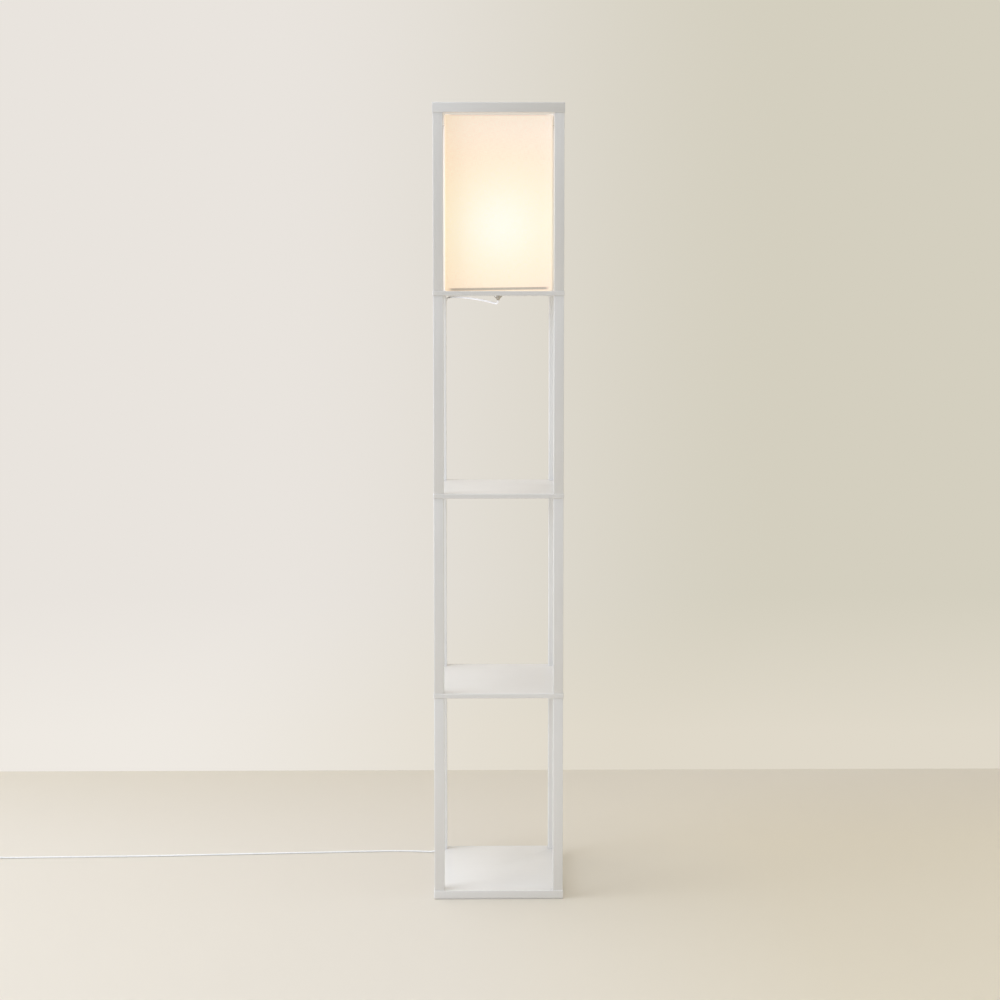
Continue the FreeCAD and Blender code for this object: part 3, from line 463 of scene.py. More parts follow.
class NodeBench:
    """A new material's or world's node tree, with short ways to add and join its nodes."""

    # The part of a noise that a colour changes over, and the part that a roughness does.
    mottle: Range = (0.35, 0.7)
    soft_mottle: Range = (0.3, 0.7)

    def __init__(self, name: str, world: bool = False) -> None:
        """Starts a material or a world.

        Args:
            name: Its name.
            world: Whether it is the world.
        """
        self.material = (bpy.data.worlds if world else bpy.data.materials).new(name)
        self.material.use_nodes = True
        self.tree = self.material.node_tree
        self.shader = self.tree.nodes["Background" if world else "Principled BSDF"]

    def add(
        self, kind: str, inputs: dict[str | int, Any] | None = None, **settings: Any
    ) -> bpy.types.Node:
        """Adds a node.

        Args:
            kind: The node's type without its ShaderNode prefix.
            inputs: Values or output sockets for the node's inputs, by name or number.
            **settings: Properties of the node.

        Returns:
            The node.
        """
        node = self.tree.nodes.new(f"ShaderNode{kind}")
        for name, value in settings.items():
            setattr(node, name, value)
        for name, value in (inputs or {}).items():
            self.feed(node, name, value)
        return node

    def feed(self, node: bpy.types.Node, name: str | int, value: Any) -> None:
        """Sets or joins one input of a node.

        Args:
            node: The node.
            name: The input's name or number.
            value: A number, a colour or another node's output.
        """
        if isinstance(value, bpy.types.NodeSocket):
            self.tree.links.new(value, node.inputs[name])
        else:
            node.inputs[name].default_value = value

    def surface(self, **values: Any) -> None:
        """Sets or joins inputs of the shader, whose names are written with underscores."""
        for name, value in values.items():
            self.feed(self.shader, name.replace("_", " "), value)

    def maths(self, operation: str, *terms: Any) -> bpy.types.NodeSocket:
        """Numbers put together by a maths operation.

        Args:
            operation: The maths operation.
            *terms: Its numbers or sockets.

        Returns:
            The result.
        """
        return self.add("Math", dict(enumerate(terms)), operation=operation).outputs[0]

    def axes(self, space: str = "Object") -> Any:
        """The coordinates' own numbers, by "X", "Y" and "Z"."""
        return self.add("SeparateXYZ", {0: self.add("TexCoord").outputs[space]}).outputs

    def noise(
        self, scale: float, detail: float = 2.0, stretch: Point = (1, 1, 1), space: str = "Object"
    ) -> bpy.types.NodeSocket:
        """Noise between 0 and 1.

        Args:
            scale: How many features there are to a metre.
            detail: How many octaves.
            stretch: How the noise is squeezed on each axis.
            space: The coordinates that it follows, "Object" or "UV".

        Returns:
            The noise.
        """
        source = self.add("TexCoord").outputs[space]
        place = self.add("Mapping", {"Vector": source, "Scale": stretch}).outputs[0]
        inputs = {"Vector": place, "Scale": scale, "Detail": detail}
        return self.add("TexNoise", inputs).outputs[0]

    def spread(self, value: Any, low: float, high: float, to: Range = (0.0, 1.0)) -> Any:
        """A number moved evenly from one range to another, and held inside it."""
        inputs = {"Value": value, 1: low, 2: high, 3: to[0], 4: to[1]}
        return self.add("MapRange", inputs, clamp=True).outputs[0]

    def rough(self, pattern: Any, low: float, high: float) -> Any:
        """A roughness that a pattern moves between two values."""
        return self.spread(pattern, *self.soft_mottle, (low, high))

    def mix(self, share: Any, first: Any, second: Any, blend: str = "MIX") -> Any:
        """Two colours mixed.

        Args:
            share: How much of the second.
            first: A colour or socket.
            second: A colour or socket.
            blend: The way that they are mixed.

        Returns:
            The mixed colour.
        """
        node = self.add("Mix", data_type="RGBA", blend_type=blend)
        for number, value in ((0, share), (6, first), (7, second)):
            if isinstance(value, tuple) and len(value) == 3:
                value = (*value, 1.0)
            self.feed(node, number, value)
        return node.outputs[2]

    def mottled(self, pattern: Any, colour: Colour, other: Colour, share: float = 1.0) -> Any:
        """A colour that a pattern turns partly into another.

        Args:
            pattern: The pattern, between 0 and 1.
            colour: The colour.
            other: What it turns into.
            share: How much of that there is at most.

        Returns:
            The mottled colour.
        """
        return self.mix(self.spread(pattern, *self.mottle, (0.0, share)), colour, other)

    def bump(self, height: Any, depth: float, strength: float = 1.0, under: Any = None) -> Any:
        """A bumped normal.

        Args:
            height: The pattern, between 0 and 1.
            depth: How high it stands, in metres.
            strength: How strong it is.
            under: A normal that it adds to.

        Returns:
            The normal.
        """
        inputs = {"Height": height, "Distance": depth, "Strength": strength}
        if under is not None:
            inputs["Normal"] = under
        return self.add("Bump", inputs).outputs[0]


class Grain(Enum):
    """Which way the wood runs under the paint, as a stretch of its pattern."""

    UP = (1.0, 1.0, 0.06)
    ACROSS = (0.06, 1.0, 1.0)
    INWARD = (1.0, 0.06, 1.0)


@dataclass(frozen=True)
class SatinPaint:
    """White satin lacquer, rolled on, with the wood's grain just showing through.

    Where a face on Y is given, everything before it is painted whiter, more so higher up: painted
    light.
    """

    name: str
    grain: Grain
    painted_light_face: float | None = None
    colour: Colour = (0.804, 0.787, 0.764)
    shade: Colour = (0.762, 0.742, 0.714)
    cloud_scale: float = 9.0
    cloud_share: float = 0.35
    grain_scale: float = 260.0
    grain_detail: float = 5.0
    grain_range: Range = (0.4, 0.75)
    grain_share: float = 0.3
    grain_height: float = 0.00008
    peel_scale: float = 900.0
    peel_detail: float = 1.0
    peel_height: float = 0.00004
    relief: float = 0.5
    roughness: Range = (0.38, 0.46)
    coat: float = 0.35
    coat_roughness: float = 0.24
    # The white of the painted light before the given face, how fast it fades, and how it grows with
    # height.
    painted_light_white: Colour = (0.96, 0.955, 0.95)
    painted_light_fade: float = 0.0004
    painted_light_heights: Range = (0.2, 1.0)
    painted_light_shares: Range = (0.4, 1.0)

    def paint_light_on(self, bench: NodeBench, face: float, colour: Any) -> Any:
        """Paints light on: a whiter paint before a face, more so higher up.

        Args:
            bench: The material's bench.
            face: Where the face is on Y.
            colour: The paint's colour.

        Returns:
            The colour with the painted light.
        """
        place = bench.axes()
        front = bench.spread(place["Y"], face, face + self.painted_light_fade, (1.0, 0.0))
        height = bench.spread(place["Z"], *self.painted_light_heights, self.painted_light_shares)
        return bench.mix(bench.maths("MULTIPLY", front, height), colour, self.painted_light_white)

    def build(self) -> bpy.types.Material:
        """Makes the material."""
        bench = NodeBench(self.name)
        grain = bench.noise(self.grain_scale, self.grain_detail, self.grain.value)
        cloud = bench.noise(self.cloud_scale)
        peel = bench.noise(self.peel_scale, self.peel_detail)
        clouded = bench.spread(cloud, *bench.mottle, (0.0, self.cloud_share))
        grained = bench.spread(grain, *self.grain_range, (0.0, self.grain_share))
        colour = bench.mix(bench.maths("ADD", clouded, grained), self.colour, self.shade)
        # Painted light: whiter paint before the given face.
        if self.painted_light_face is not None:
            colour = self.paint_light_on(bench, self.painted_light_face, colour)
        raised = bench.bump(grain, self.grain_height, self.relief)
        bench.surface(
            Base_Color=colour,
            Roughness=bench.rough(cloud, *self.roughness),
            Coat_Weight=self.coat,
            Coat_Roughness=self.coat_roughness,
            Normal=bench.bump(peel, self.peel_height, self.relief, raised),
        )
        return bench.material


@dataclass(frozen=True)
class Plastic:
    """Moulded plastic with a fine spark-eroded texture."""

    name: str
    colour: Colour = (0.80, 0.79, 0.77)
    cloud_scale: float = 60.0
    cloud_share: float = 0.6
    cloud_dim: float = 0.93
    roughness: Range = (0.30, 0.42)
    spark_scale: float = 2600.0
    spark_detail: float = 1.0
    spark_height: float = 0.00002
    spark_relief: float = 0.4

    def build(self) -> bpy.types.Material:
        """Makes the material."""
        bench = NodeBench(self.name)
        cloud = bench.noise(self.cloud_scale)
        spark = bench.noise(self.spark_scale, self.spark_detail)
        darker = dimmed(self.colour, self.cloud_dim)
        bench.surface(
            Base_Color=bench.mottled(cloud, self.colour, darker, self.cloud_share),
            Roughness=bench.rough(cloud, *self.roughness),
            Normal=bench.bump(spark, self.spark_height, self.spark_relief),
        )
        return bench.material


@dataclass(frozen=True)
class Sheath:
    """The lead's soft white sheath, with a painted highlight under the lamp shelf and painted
    shadow by the rear left corner.
    """

    name: str = "lead_sheath"
    colour: Colour = (0.93, 0.925, 0.93)
    cloud_scale: float = 60.0
    cloud_share: float = 0.6
    cloud_dim: float = 0.94
    ripple_scale: float = 900.0
    ripple_height: float = 0.00002
    ripple_relief: float = 0.4
    roughness: Range = (0.22, 0.32)
    coat: float = 0.5
    coat_roughness: float = 0.12
    under_shelf: Range = (1.18, 1.19)
    # The painted highlight under the lamp shelf: its colour, strength and reach along X.
    painted_glint_colour: Colour = (0.85, 0.86, 1.0)
    painted_glint_strength: float = 0.24
    painted_glint_reach: Range = (-0.088, -0.058)
    # The painted shadow near the rear left corner: its colour, how much of it, and its reach along
    # X.
    corner: Colour = (0.35, 0.35, 0.36)
    painted_shadow_share: float = 0.3
    painted_shadow_reach: Range = (-0.092, -0.07)

    def build(self) -> bpy.types.Material:
        """Makes the material."""
        bench = NodeBench(self.name)
        place = bench.axes()
        cloud = bench.noise(self.cloud_scale)
        ripple = bench.noise(self.ripple_scale)
        # Painted light: the sheath glows under the lamp shelf, and is darkened near the rear left
        # corner as painted shadow.
        high = bench.spread(place["Z"], *self.under_shelf)
        lit = bench.maths("MULTIPLY", high, bench.spread(place["X"], *self.painted_glint_reach))
        in_painted_shadow = bench.spread(place["X"], *self.painted_shadow_reach, (self.painted_shadow_share, 0.0))
        dull = dimmed(self.colour, self.cloud_dim)
        colour = bench.mottled(cloud, self.colour, dull, self.cloud_share)
        bench.surface(
            Base_Color=bench.mix(bench.maths("MULTIPLY", high, in_painted_shadow), colour, self.corner),
            Roughness=bench.rough(cloud, *self.roughness),
            Coat_Weight=self.coat,
            Coat_Roughness=self.coat_roughness,
            Emission_Color=(*self.painted_glint_colour, 1.0),
            Emission_Strength=bench.maths("MULTIPLY", lit, self.painted_glint_strength),
            Normal=bench.bump(ripple, self.ripple_height, self.ripple_relief),
        )
        return bench.material


@dataclass(frozen=True)
class Metal:
    """Plated or turned metal with fine tool lines."""

    name: str
    colour: Colour = (0.72, 0.72, 0.72)
    roughness: float = 0.28
    roughness_more: float = 0.12
    cloud_scale: float = 120.0
    cloud_detail: float = 3.0
    cloud_share: float = 0.7
    cloud_dim: float = 0.8
    line_scale: float = 500.0
    line_stretch: Point = (1, 1, 30)
    line_height: float = 0.00002
    line_relief: float = 0.25

    def build(self) -> bpy.types.Material:
        """Makes the material."""
        bench = NodeBench(self.name)
        cloud = bench.noise(self.cloud_scale, self.cloud_detail)
        lines = bench.noise(self.line_scale, stretch=self.line_stretch)
        darker = dimmed(self.colour, self.cloud_dim)
        bench.surface(
            Base_Color=bench.mottled(cloud, self.colour, darker, self.cloud_share),
            Metallic=1.0,
            Roughness=bench.rough(cloud, self.roughness, self.roughness + self.roughness_more),
            Normal=bench.bump(lines, self.line_height, self.line_relief),
        )
        return bench.material


@dataclass(frozen=True)
class Felt:
    """Pressed grey felt."""

    name: str = "pressed_felt"
    colour: Colour = (0.3, 0.29, 0.28)
    shade: Colour = (0.2, 0.195, 0.19)
    roughness: float = 0.95
    sheen: float = 0.3
    fibre_scale: float = 1800.0
    fibre_detail: float = 4.0
    fibre_stretch: Point = (1, 1, 2)
    fibre_height: float = 0.0002
    fibre_relief: float = 0.8

    def build(self) -> bpy.types.Material:
        """Makes the material."""
        bench = NodeBench(self.name)
        fibre = bench.noise(self.fibre_scale, self.fibre_detail, self.fibre_stretch)
        share = bench.spread(fibre, *bench.soft_mottle)
        bench.surface(
            Base_Color=bench.mix(share, self.colour, self.shade),
            Roughness=self.roughness,
            Sheen_Weight=self.sheen,
            Normal=bench.bump(fibre, self.fibre_height, self.fibre_relief),
        )
        return bench.material


@dataclass(frozen=True)
class Beech:
    """Bare beech with its short flecks."""

    name: str = "bare_beech"
    colour: Colour = (0.55, 0.37, 0.2)
    fleck: Colour = (0.36, 0.22, 0.11)
    roughness: float = 0.6
    grain_scale: float = 700.0
    grain_detail: float = 4.0
    grain_stretch: Point = (1, 0.1, 1)
    grain_height: float = 0.0001
    grain_relief: float = 0.5

    def build(self) -> bpy.types.Material:
        """Makes the material."""
        bench = NodeBench(self.name)
        grain = bench.noise(self.grain_scale, self.grain_detail, self.grain_stretch)
        bench.surface(
            Base_Color=bench.mottled(grain, self.colour, self.fleck),
            Roughness=self.roughness,
            Normal=bench.bump(grain, self.grain_height, self.grain_relief),
        )
        return bench.material


@dataclass(frozen=True)
class LitLinen:
    """Plain-woven linen lit from inside by the bulb, on its own flat coordinates in metres.

    Along the cloth, the first fold is at the rear left and the second at the front left.
    """

    name: str = "lit_linen"
    side: float = 0.2125
    colour: Colour = (0.47, 0.45, 0.42)
    shade: Colour = (0.41, 0.385, 0.35)
    roughness: float = 0.88
    sheen: float = 0.12
    sheen_roughness: float = 0.4
    bulb: float = 1.352
    edge: Colour = (0.70, 0.515, 0.385)
    heart: Colour = (0.0, 0.158, 0.187)
    spread_green: float = 0.115
    spread_blue: float = 0.08
    top: Colour = (0.965, 1.05, 1.12)
    top_heights: Range = (1.49, 1.56)
    tint_full: float = 0.9
    tints: tuple[tuple[float, Colour], ...] = (
        (0.0, (0.9, 0.9, 0.9)),
        (0.21, (0.9, 0.9, 0.9)),
        (0.25, (0.9, 0.875, 0.77)),
        (0.262, (0.9, 0.895, 0.84)),
        (0.29, (0.9, 0.898, 0.875)),
        (0.375, (0.9, 0.9, 0.9)),
        (0.48, (0.9, 0.925, 0.94)),
        (0.5, (0.9, 0.95, 1.0)),
        (0.52, (0.9, 0.925, 0.94)),
        (0.6, (0.9, 0.9, 0.9)),
    )
    low_ring: float = 1.2266
    low_ring_tilt: float = 0.0145
    low_ring_half: float = 0.0023
    low_ring_depth: float = 0.67
    high_ring: float = 1.5685
    high_ring_half: float = 0.0017
    high_ring_depth: float = 0.45
    ring_fade: Range = (-0.0006, 0.0008)
    ring_ends: Range = (0.435, 0.475)
    thread: float = 0.0006
    crossing: Range = (-0.1, 0.1)
    thread_height: float = 0.00012
    thread_relief: float = 0.6
    open_range: Range = (0.0, 0.7)
    open_light: Range = (0.985, 1.12)
    slub_scale: float = 90.0
    slub_detail: float = 3.0
    slub_stretch: float = 22.0
    slub_range: Range = (0.8, 1.25)
    slub_light: Range = (1.03, 0.955)
    slub_height: float = 0.0002
    slub_relief: float = 0.4

    def glow(self, bench: NodeBench) -> bpy.types.NodeSocket:
        """The light through the cloth, warmest far from the bulb.

        Args:
            bench: The material's bench.

        Returns:
            The light's colour.
        """
        place = bench.add("TexCoord").outputs["Object"]
        move = {"Vector": place, "Location": (0, 0, -self.bulb)}
        from_bulb = bench.add("Mapping", move).outputs[0]
        away = bench.add("VectorMath", {0: from_bulb, 1: from_bulb}, operation="DOT_PRODUCT")
        square = bench.maths("SUBTRACT", away.outputs["Value"], (self.side / 2) ** 2)
        channels = [self.edge[0]]
        for number, width in ((1, self.spread_green), (2, self.spread_blue)):
            fall = bench.maths("EXPONENT", bench.maths("MULTIPLY", square, -1 / width**2))
            light = bench.maths("MULTIPLY_ADD", fall, self.heart[number], self.edge[number])
            channels.append(light)
        return bench.add("CombineColor", dict(enumerate(channels))).outputs[0]

    def tint(self, bench: NodeBench, along: bpy.types.NodeSocket) -> bpy.types.NodeSocket:
        """How the light's colour changes round the shade: deep at one fold, pale at the next.

        Args:
            bench: The material's bench.
            along: How far along the cloth, in metres.

        Returns:
            The colour that the light is multiplied by.
        """
        turn = bench.maths("FRACT", bench.maths("MULTIPLY", along, 1 / (4 * self.side)))
        ramp = bench.add("ValToRGB", {0: turn})
        stops = ramp.color_ramp.elements
        for number, (at, colour) in enumerate(self.tints):
            stop = stops[number] if number < 2 else stops.new(at)
            stop.position = at
            stop.color = (*colour, 1.0)
        terms = {0: ramp.outputs[0], 1: (1 / self.tint_full,) * 3}
        return bench.add("VectorMath", terms, operation="MULTIPLY").outputs[0]

    def weave(self, bench: NodeBench, along: Any, up: Any) -> tuple[Any, Any]:
        """Threads that pass over and under each other.

        Args:
            bench: The material's bench.
            along: How far along the cloth, in metres.
            up: How far up the cloth, in metres.

        Returns:
            How high the cloth stands, and how open it is, both between 0 and 1.
        """
        waves = [
            bench.maths("SINE", bench.maths("MULTIPLY", place, math.pi / self.thread))
            for place in (along, up)
        ]
        warp, weft = (bench.maths("ABSOLUTE", wave) for wave in waves)
        over = bench.spread(bench.maths("MULTIPLY", *waves), *self.crossing)
        height = bench.add("Mix", {0: over, 2: weft, 3: warp}, data_type="FLOAT").outputs[0]
        holes = [bench.maths("SUBTRACT", 1.0, thread) for thread in (warp, weft)]
        return height, bench.maths("MULTIPLY", *holes)

    def ring_shadow(self, bench: NodeBench, along: Any, up: Any) -> bpy.types.NodeSocket:
        """The shadow of the wire rings behind the cloth, which stop short of each fold.

        Args:
            bench: The material's bench.
            along: How far along the cloth, in metres.
            up: How far up the cloth, in metres.

        Returns:
            What the light is multiplied by.
        """
        side = bench.maths("FRACT", bench.maths("MULTIPLY", along, 1 / self.side))
        middle = bench.maths("ABSOLUTE", bench.maths("SUBTRACT", side, 0.5))
        ends = bench.spread(middle, *self.ring_ends, (1.0, 0.0))
        low_ring = bench.maths("MULTIPLY_ADD", bench.axes()["X"], self.low_ring_tilt, self.low_ring)
        shadow: Any = 1.0
        for ring, half, depth in (
            (low_ring, self.low_ring_half, self.low_ring_depth),
            (self.high_ring, self.high_ring_half, self.high_ring_depth),
        ):
            off = bench.maths("ABSOLUTE", bench.maths("SUBTRACT", up, ring))
            inside, outside = (half + fade for fade in self.ring_fade)
            band = bench.maths("MULTIPLY", bench.spread(off, inside, outside, (depth, 0.0)), ends)
            shadow = bench.maths("MULTIPLY", shadow, bench.maths("SUBTRACT", 1.0, band))
        return shadow

    def build(self) -> bpy.types.Material:
        """Makes the material."""
        bench = NodeBench(self.name)
        flat = bench.axes("UV")
        height, holes = self.weave(bench, flat["X"], flat["Y"])
        slubs = bench.maths(
            "ADD",
            *(
                bench.noise(self.slub_scale, self.slub_detail, stretch, "UV")
                for stretch in ((1.0, self.slub_stretch, 1.0), (self.slub_stretch, 1.0, 1.0))
            ),
        )
        shadow = self.ring_shadow(bench, flat["X"], flat["Y"])
        uneven = bench.spread(slubs, *self.slub_range, self.slub_light)
        light = bench.maths("MULTIPLY", uneven, shadow)
        through = bench.spread(holes, *self.open_range, self.open_light)
        light = bench.maths("MULTIPLY", light, through)
        colour = bench.mix(1.0, self.glow(bench), self.tint(bench, flat["X"]), "MULTIPLY")
        pale = bench.mix(bench.spread(flat["Y"], *self.top_heights), (1.0, 1.0, 1.0), self.top)
        bench.surface(
            Base_Color=bench.mix(bench.spread(slubs, *self.slub_range), self.colour, self.shade),
            Roughness=self.roughness,
            Sheen_Weight=self.sheen,
            Sheen_Roughness=self.sheen_roughness,
            Emission_Color=bench.mix(1.0, colour, pale, "MULTIPLY"),
            Emission_Strength=light,
            Normal=bench.bump(
                height,
                self.thread_height,
                self.thread_relief,
                bench.bump(slubs, self.slub_height, self.slub_relief),
            ),
        )
        return bench.material


@dataclass(frozen=True)
class LitOpal:
    """A frosted diffuser, lit from inside."""

    name: str = "lit_opal"
    colour: Colour = (0.9, 0.88, 0.82)
    light: Colour = (1.0, 0.86, 0.62)
    strength: float = 3.0
    cloud_scale: float = 80.0
    roughness: Range = (0.3, 0.4)

    def build(self) -> bpy.types.Material:
        """Makes the material."""
        bench = NodeBench(self.name)
        bench.surface(
            Base_Color=(*self.colour, 1.0),
            Roughness=bench.rough(bench.noise(self.cloud_scale), *self.roughness),
            Emission_Color=(*self.light, 1.0),
            Emission_Strength=self.strength,
        )
        return bench.material


# --- Shade ----------------------------------------------------------------------------------


@dataclass
class Shade:
    """The square linen shade, turned in over its two wire rings."""

    width: float = 0.213
    cloth: float = 0.0005
    corner: float = 0.004
    ring_low: float = 1.2269
    ring_high: float = 1.567
    ring_half: float = 0.1041
    turn_in: float = 0.006
    turn_over: float = 0.00175
    turn_under: float = 0.0043
    rows: int = 14
    cuts: tuple[float, ...] = (-0.09, -0.06, -0.03, -0.003, 0.003, 0.03, 0.06, 0.09)
    spoke_half: float = 0.003
    lap: float = 0.009
    lap_thick: float = 0.0004
    lap_place: float = -0.084
    lap_ease: float = 0.00015

    @property
    def half(self) -> float:
        """Half the width at the middle of the cloth."""
        return (self.width - self.cloth) / 2

    def turn_edge(self, obj: bpy.types.Object, ring: float, drop: float) -> None:
        """Wraps one edge of the cloth over its ring and inwards.

        Args:
            obj: The cloth in edit mode.
            ring: The ring's height.
            drop: How far over the ring it turns, less than 0 at the bottom.
        """
        sign = math.copysign(1.0, drop)
        reach = self.half - self.ring_half
        at_half, at_z = self.half, ring
        steps = 6
        stops = [
            (
                self.ring_half + reach * math.cos(math.pi * i / steps),
                ring + drop * math.sin(math.pi * i / steps),
            )
            for i in range(1, steps + 1)
        ]
        stops.append((self.ring_half - reach, ring - sign * self.turn_in))
        pick_edges(obj, lambda a, b: abs(a.z - ring) < 1e-6 and abs(b.z - ring) < 1e-6)
        for half, z in stops:
            bpy.ops.mesh.extrude_edges_move(TRANSFORM_OT_translate={"value": (0, 0, z - at_z)})
            shrink = half / at_half
            bpy.ops.transform.resize(value=(shrink, shrink, 1), center_override=(0, 0, z))
            at_half, at_z = half, z

    def lay_uv(self, obj: bpy.types.Object) -> None:
        """Lays the cloth out flat in metres: along its width round the shade, and up."""
        side = 2 * self.half
        while obj.data.uv_layers:
            obj.data.uv_layers.remove(obj.data.uv_layers[0])
        layer = obj.data.uv_layers.new(name="cloth")
        for face in obj.data.polygons:
            places = []
            for loop in face.loop_indices:
                x, y, z = obj.data.vertices[obj.data.loops[loop].vertex_index].co
                stretch = self.half / max(abs(x), abs(y))
                x, y = x * stretch, y * stretch
                if abs(x) >= abs(y):
                    along = self.half - y if x < 0 else 2 * side + y + self.half
                else:
                    along = side + x + self.half if y < 0 else 3 * side + self.half - x
                places.append([loop, along, z])
            furthest = max(place[1] for place in places)
            for loop, along, z in places:
                if furthest - along > 2 * side:
                    along += 4 * side
                layer.data[loop].uv = (along, z)

    def make_cloth(self) -> bpy.types.Object:
        """The cloth itself, one closed band with both edges turned in.

        Returns:
            The cloth.
        """
        tall = self.ring_high - self.ring_low
        middle = (self.ring_low + self.ring_high) / 2
        bpy.ops.mesh.primitive_cube_add(size=2 * self.half, location=(0, 0, middle))
        obj = take(bpy.context.object, "shade_cloth")
        stretched(obj, (1, 1, tall / (2 * self.half)))
        with editing(obj):
            pick_faces(obj, lambda middle, normal: abs(normal.z) > 0.9)
            bpy.ops.mesh.delete(type="FACE")
        with editing(obj, "EDGE"):
            pick_edges(obj, lambda a, b: abs(a.z - b.z) > 0.1)
            bpy.ops.mesh.bevel(offset=self.corner - self.cloth / 2, segments=6, affect="EDGES")
            rows = [self.ring_low + tall * row / self.rows for row in range(1, self.rows)]
            cut_across(2, rows)
            for place in self.cuts:
                cut_across(0, [place])
                cut_across(1, [place])
            self.turn_edge(obj, self.ring_high, self.turn_over)
            self.turn_edge(obj, self.ring_low, -self.turn_under)
        with editing(obj):
            inner = self.ring_half - 0.001

            def by_spoke(middle: Vector, normal: Vector) -> bool:
                """Whether a face of the turned-in edge is where a spoke meets the ring."""
                near = min(abs(middle.x), abs(middle.y)) < self.spoke_half
                inside = max(abs(middle.x), abs(middle.y)) < inner
                return near and inside and middle.z < self.ring_low + 0.01

            pick_faces(obj, by_spoke)
            bpy.ops.mesh.delete(type="FACE")
            turn_solid()
        self.lay_uv(obj)
        apply_modifier(obj, "SOLIDIFY", thickness=self.cloth, offset=0.0)
        return smooth(obj, 50)

    def make_lap(self) -> bpy.types.Object:
        """The glued lap down the rear face, where the cloth's two ends meet.

        Returns:
            The lap.
        """
        tall = self.ring_high - self.ring_low
        proud = self.lap_thick / 4
        place = (self.lap_place, self.width / 2 + proud, (self.ring_low + self.ring_high) / 2)
        bpy.ops.mesh.primitive_cube_add(size=1, location=place)
        obj = take(bpy.context.object, "shade_lap")
        stretched(obj, (self.lap, self.lap_thick, tall))
        soften(obj, self.lap_ease)
        with editing(obj):
            bpy.ops.mesh.select_all(action="SELECT")
            bpy.ops.uv.cube_project(cube_size=1.0, scale_to_bounds=False)
        return smooth(obj)

    def build(self, linen: bpy.types.Material) -> None:
        """Makes the shade.

        Args:
            linen: The cloth's material.
        """
        cloth = self.make_cloth()
        dress(cloth, linen, "frame")
        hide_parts("shade_fabric")
        lap = self.make_lap()
        dress(lap, linen, "frame")
        reach = self.half - self.ring_half
        turned = 2 * self.turn_in
        for drop in (self.turn_over, self.turn_under):
            turned += math.pi * math.sqrt((drop**2 + reach**2) / 2)


# --- Woodwork -------------------------------------------------------------------------------


@dataclass
class Woodwork:
    """Posts, rails, base, glides and lead clips, with sharp ends eased so that each joint shows.

    The base board comes down over the glides, so only a thin gap is left over the floor.
    """

    wood_ease: float = 0.00028
    base_underside: float = 0.0024
    base_drop: float = 0.0021
    felt_ease: float = 0.0006
    clip_ease: float = 0.0007

    def build(
        self,
        nodes: dict[str, bpy.types.Object],
        finish_of: Callable[[str], bpy.types.Material],
        slots: dict[str, str],
    ) -> None:
        """Eases the pieces.

        Args:
            nodes: The CAD pieces by name.
            finish_of: Gives a piece's finish.
            slots: Each piece's material slot; not used.
        """
        widths = {
            "post_": self.wood_ease,
            "top_rail_": self.wood_ease,
            "floor_glides": self.felt_ease,
            "lead_clips": self.clip_ease,
            "base_board": self.wood_ease,
        }
        for start, width in widths.items():
            for name in sorted(nodes):
                if name.startswith(start):
                    piece = eased(nodes[name], f"{name}_eased", width)
                    if name == "base_board":
                        self.lower_underside(piece)
                    dress(piece, finish_of(name), "frame")
                    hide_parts(name)

    def lower_underside(self, base: bpy.types.Object) -> None:
        """Brings the base board's underside down over the glides."""
        with editing(base):
            pick_faces(base, lambda middle, normal: middle.z < self.base_underside + self.wood_ease)
            bpy.ops.transform.translate(value=(0.0, 0.0, -self.base_drop))


# --- Lampholder -----------------------------------------------------------------------------


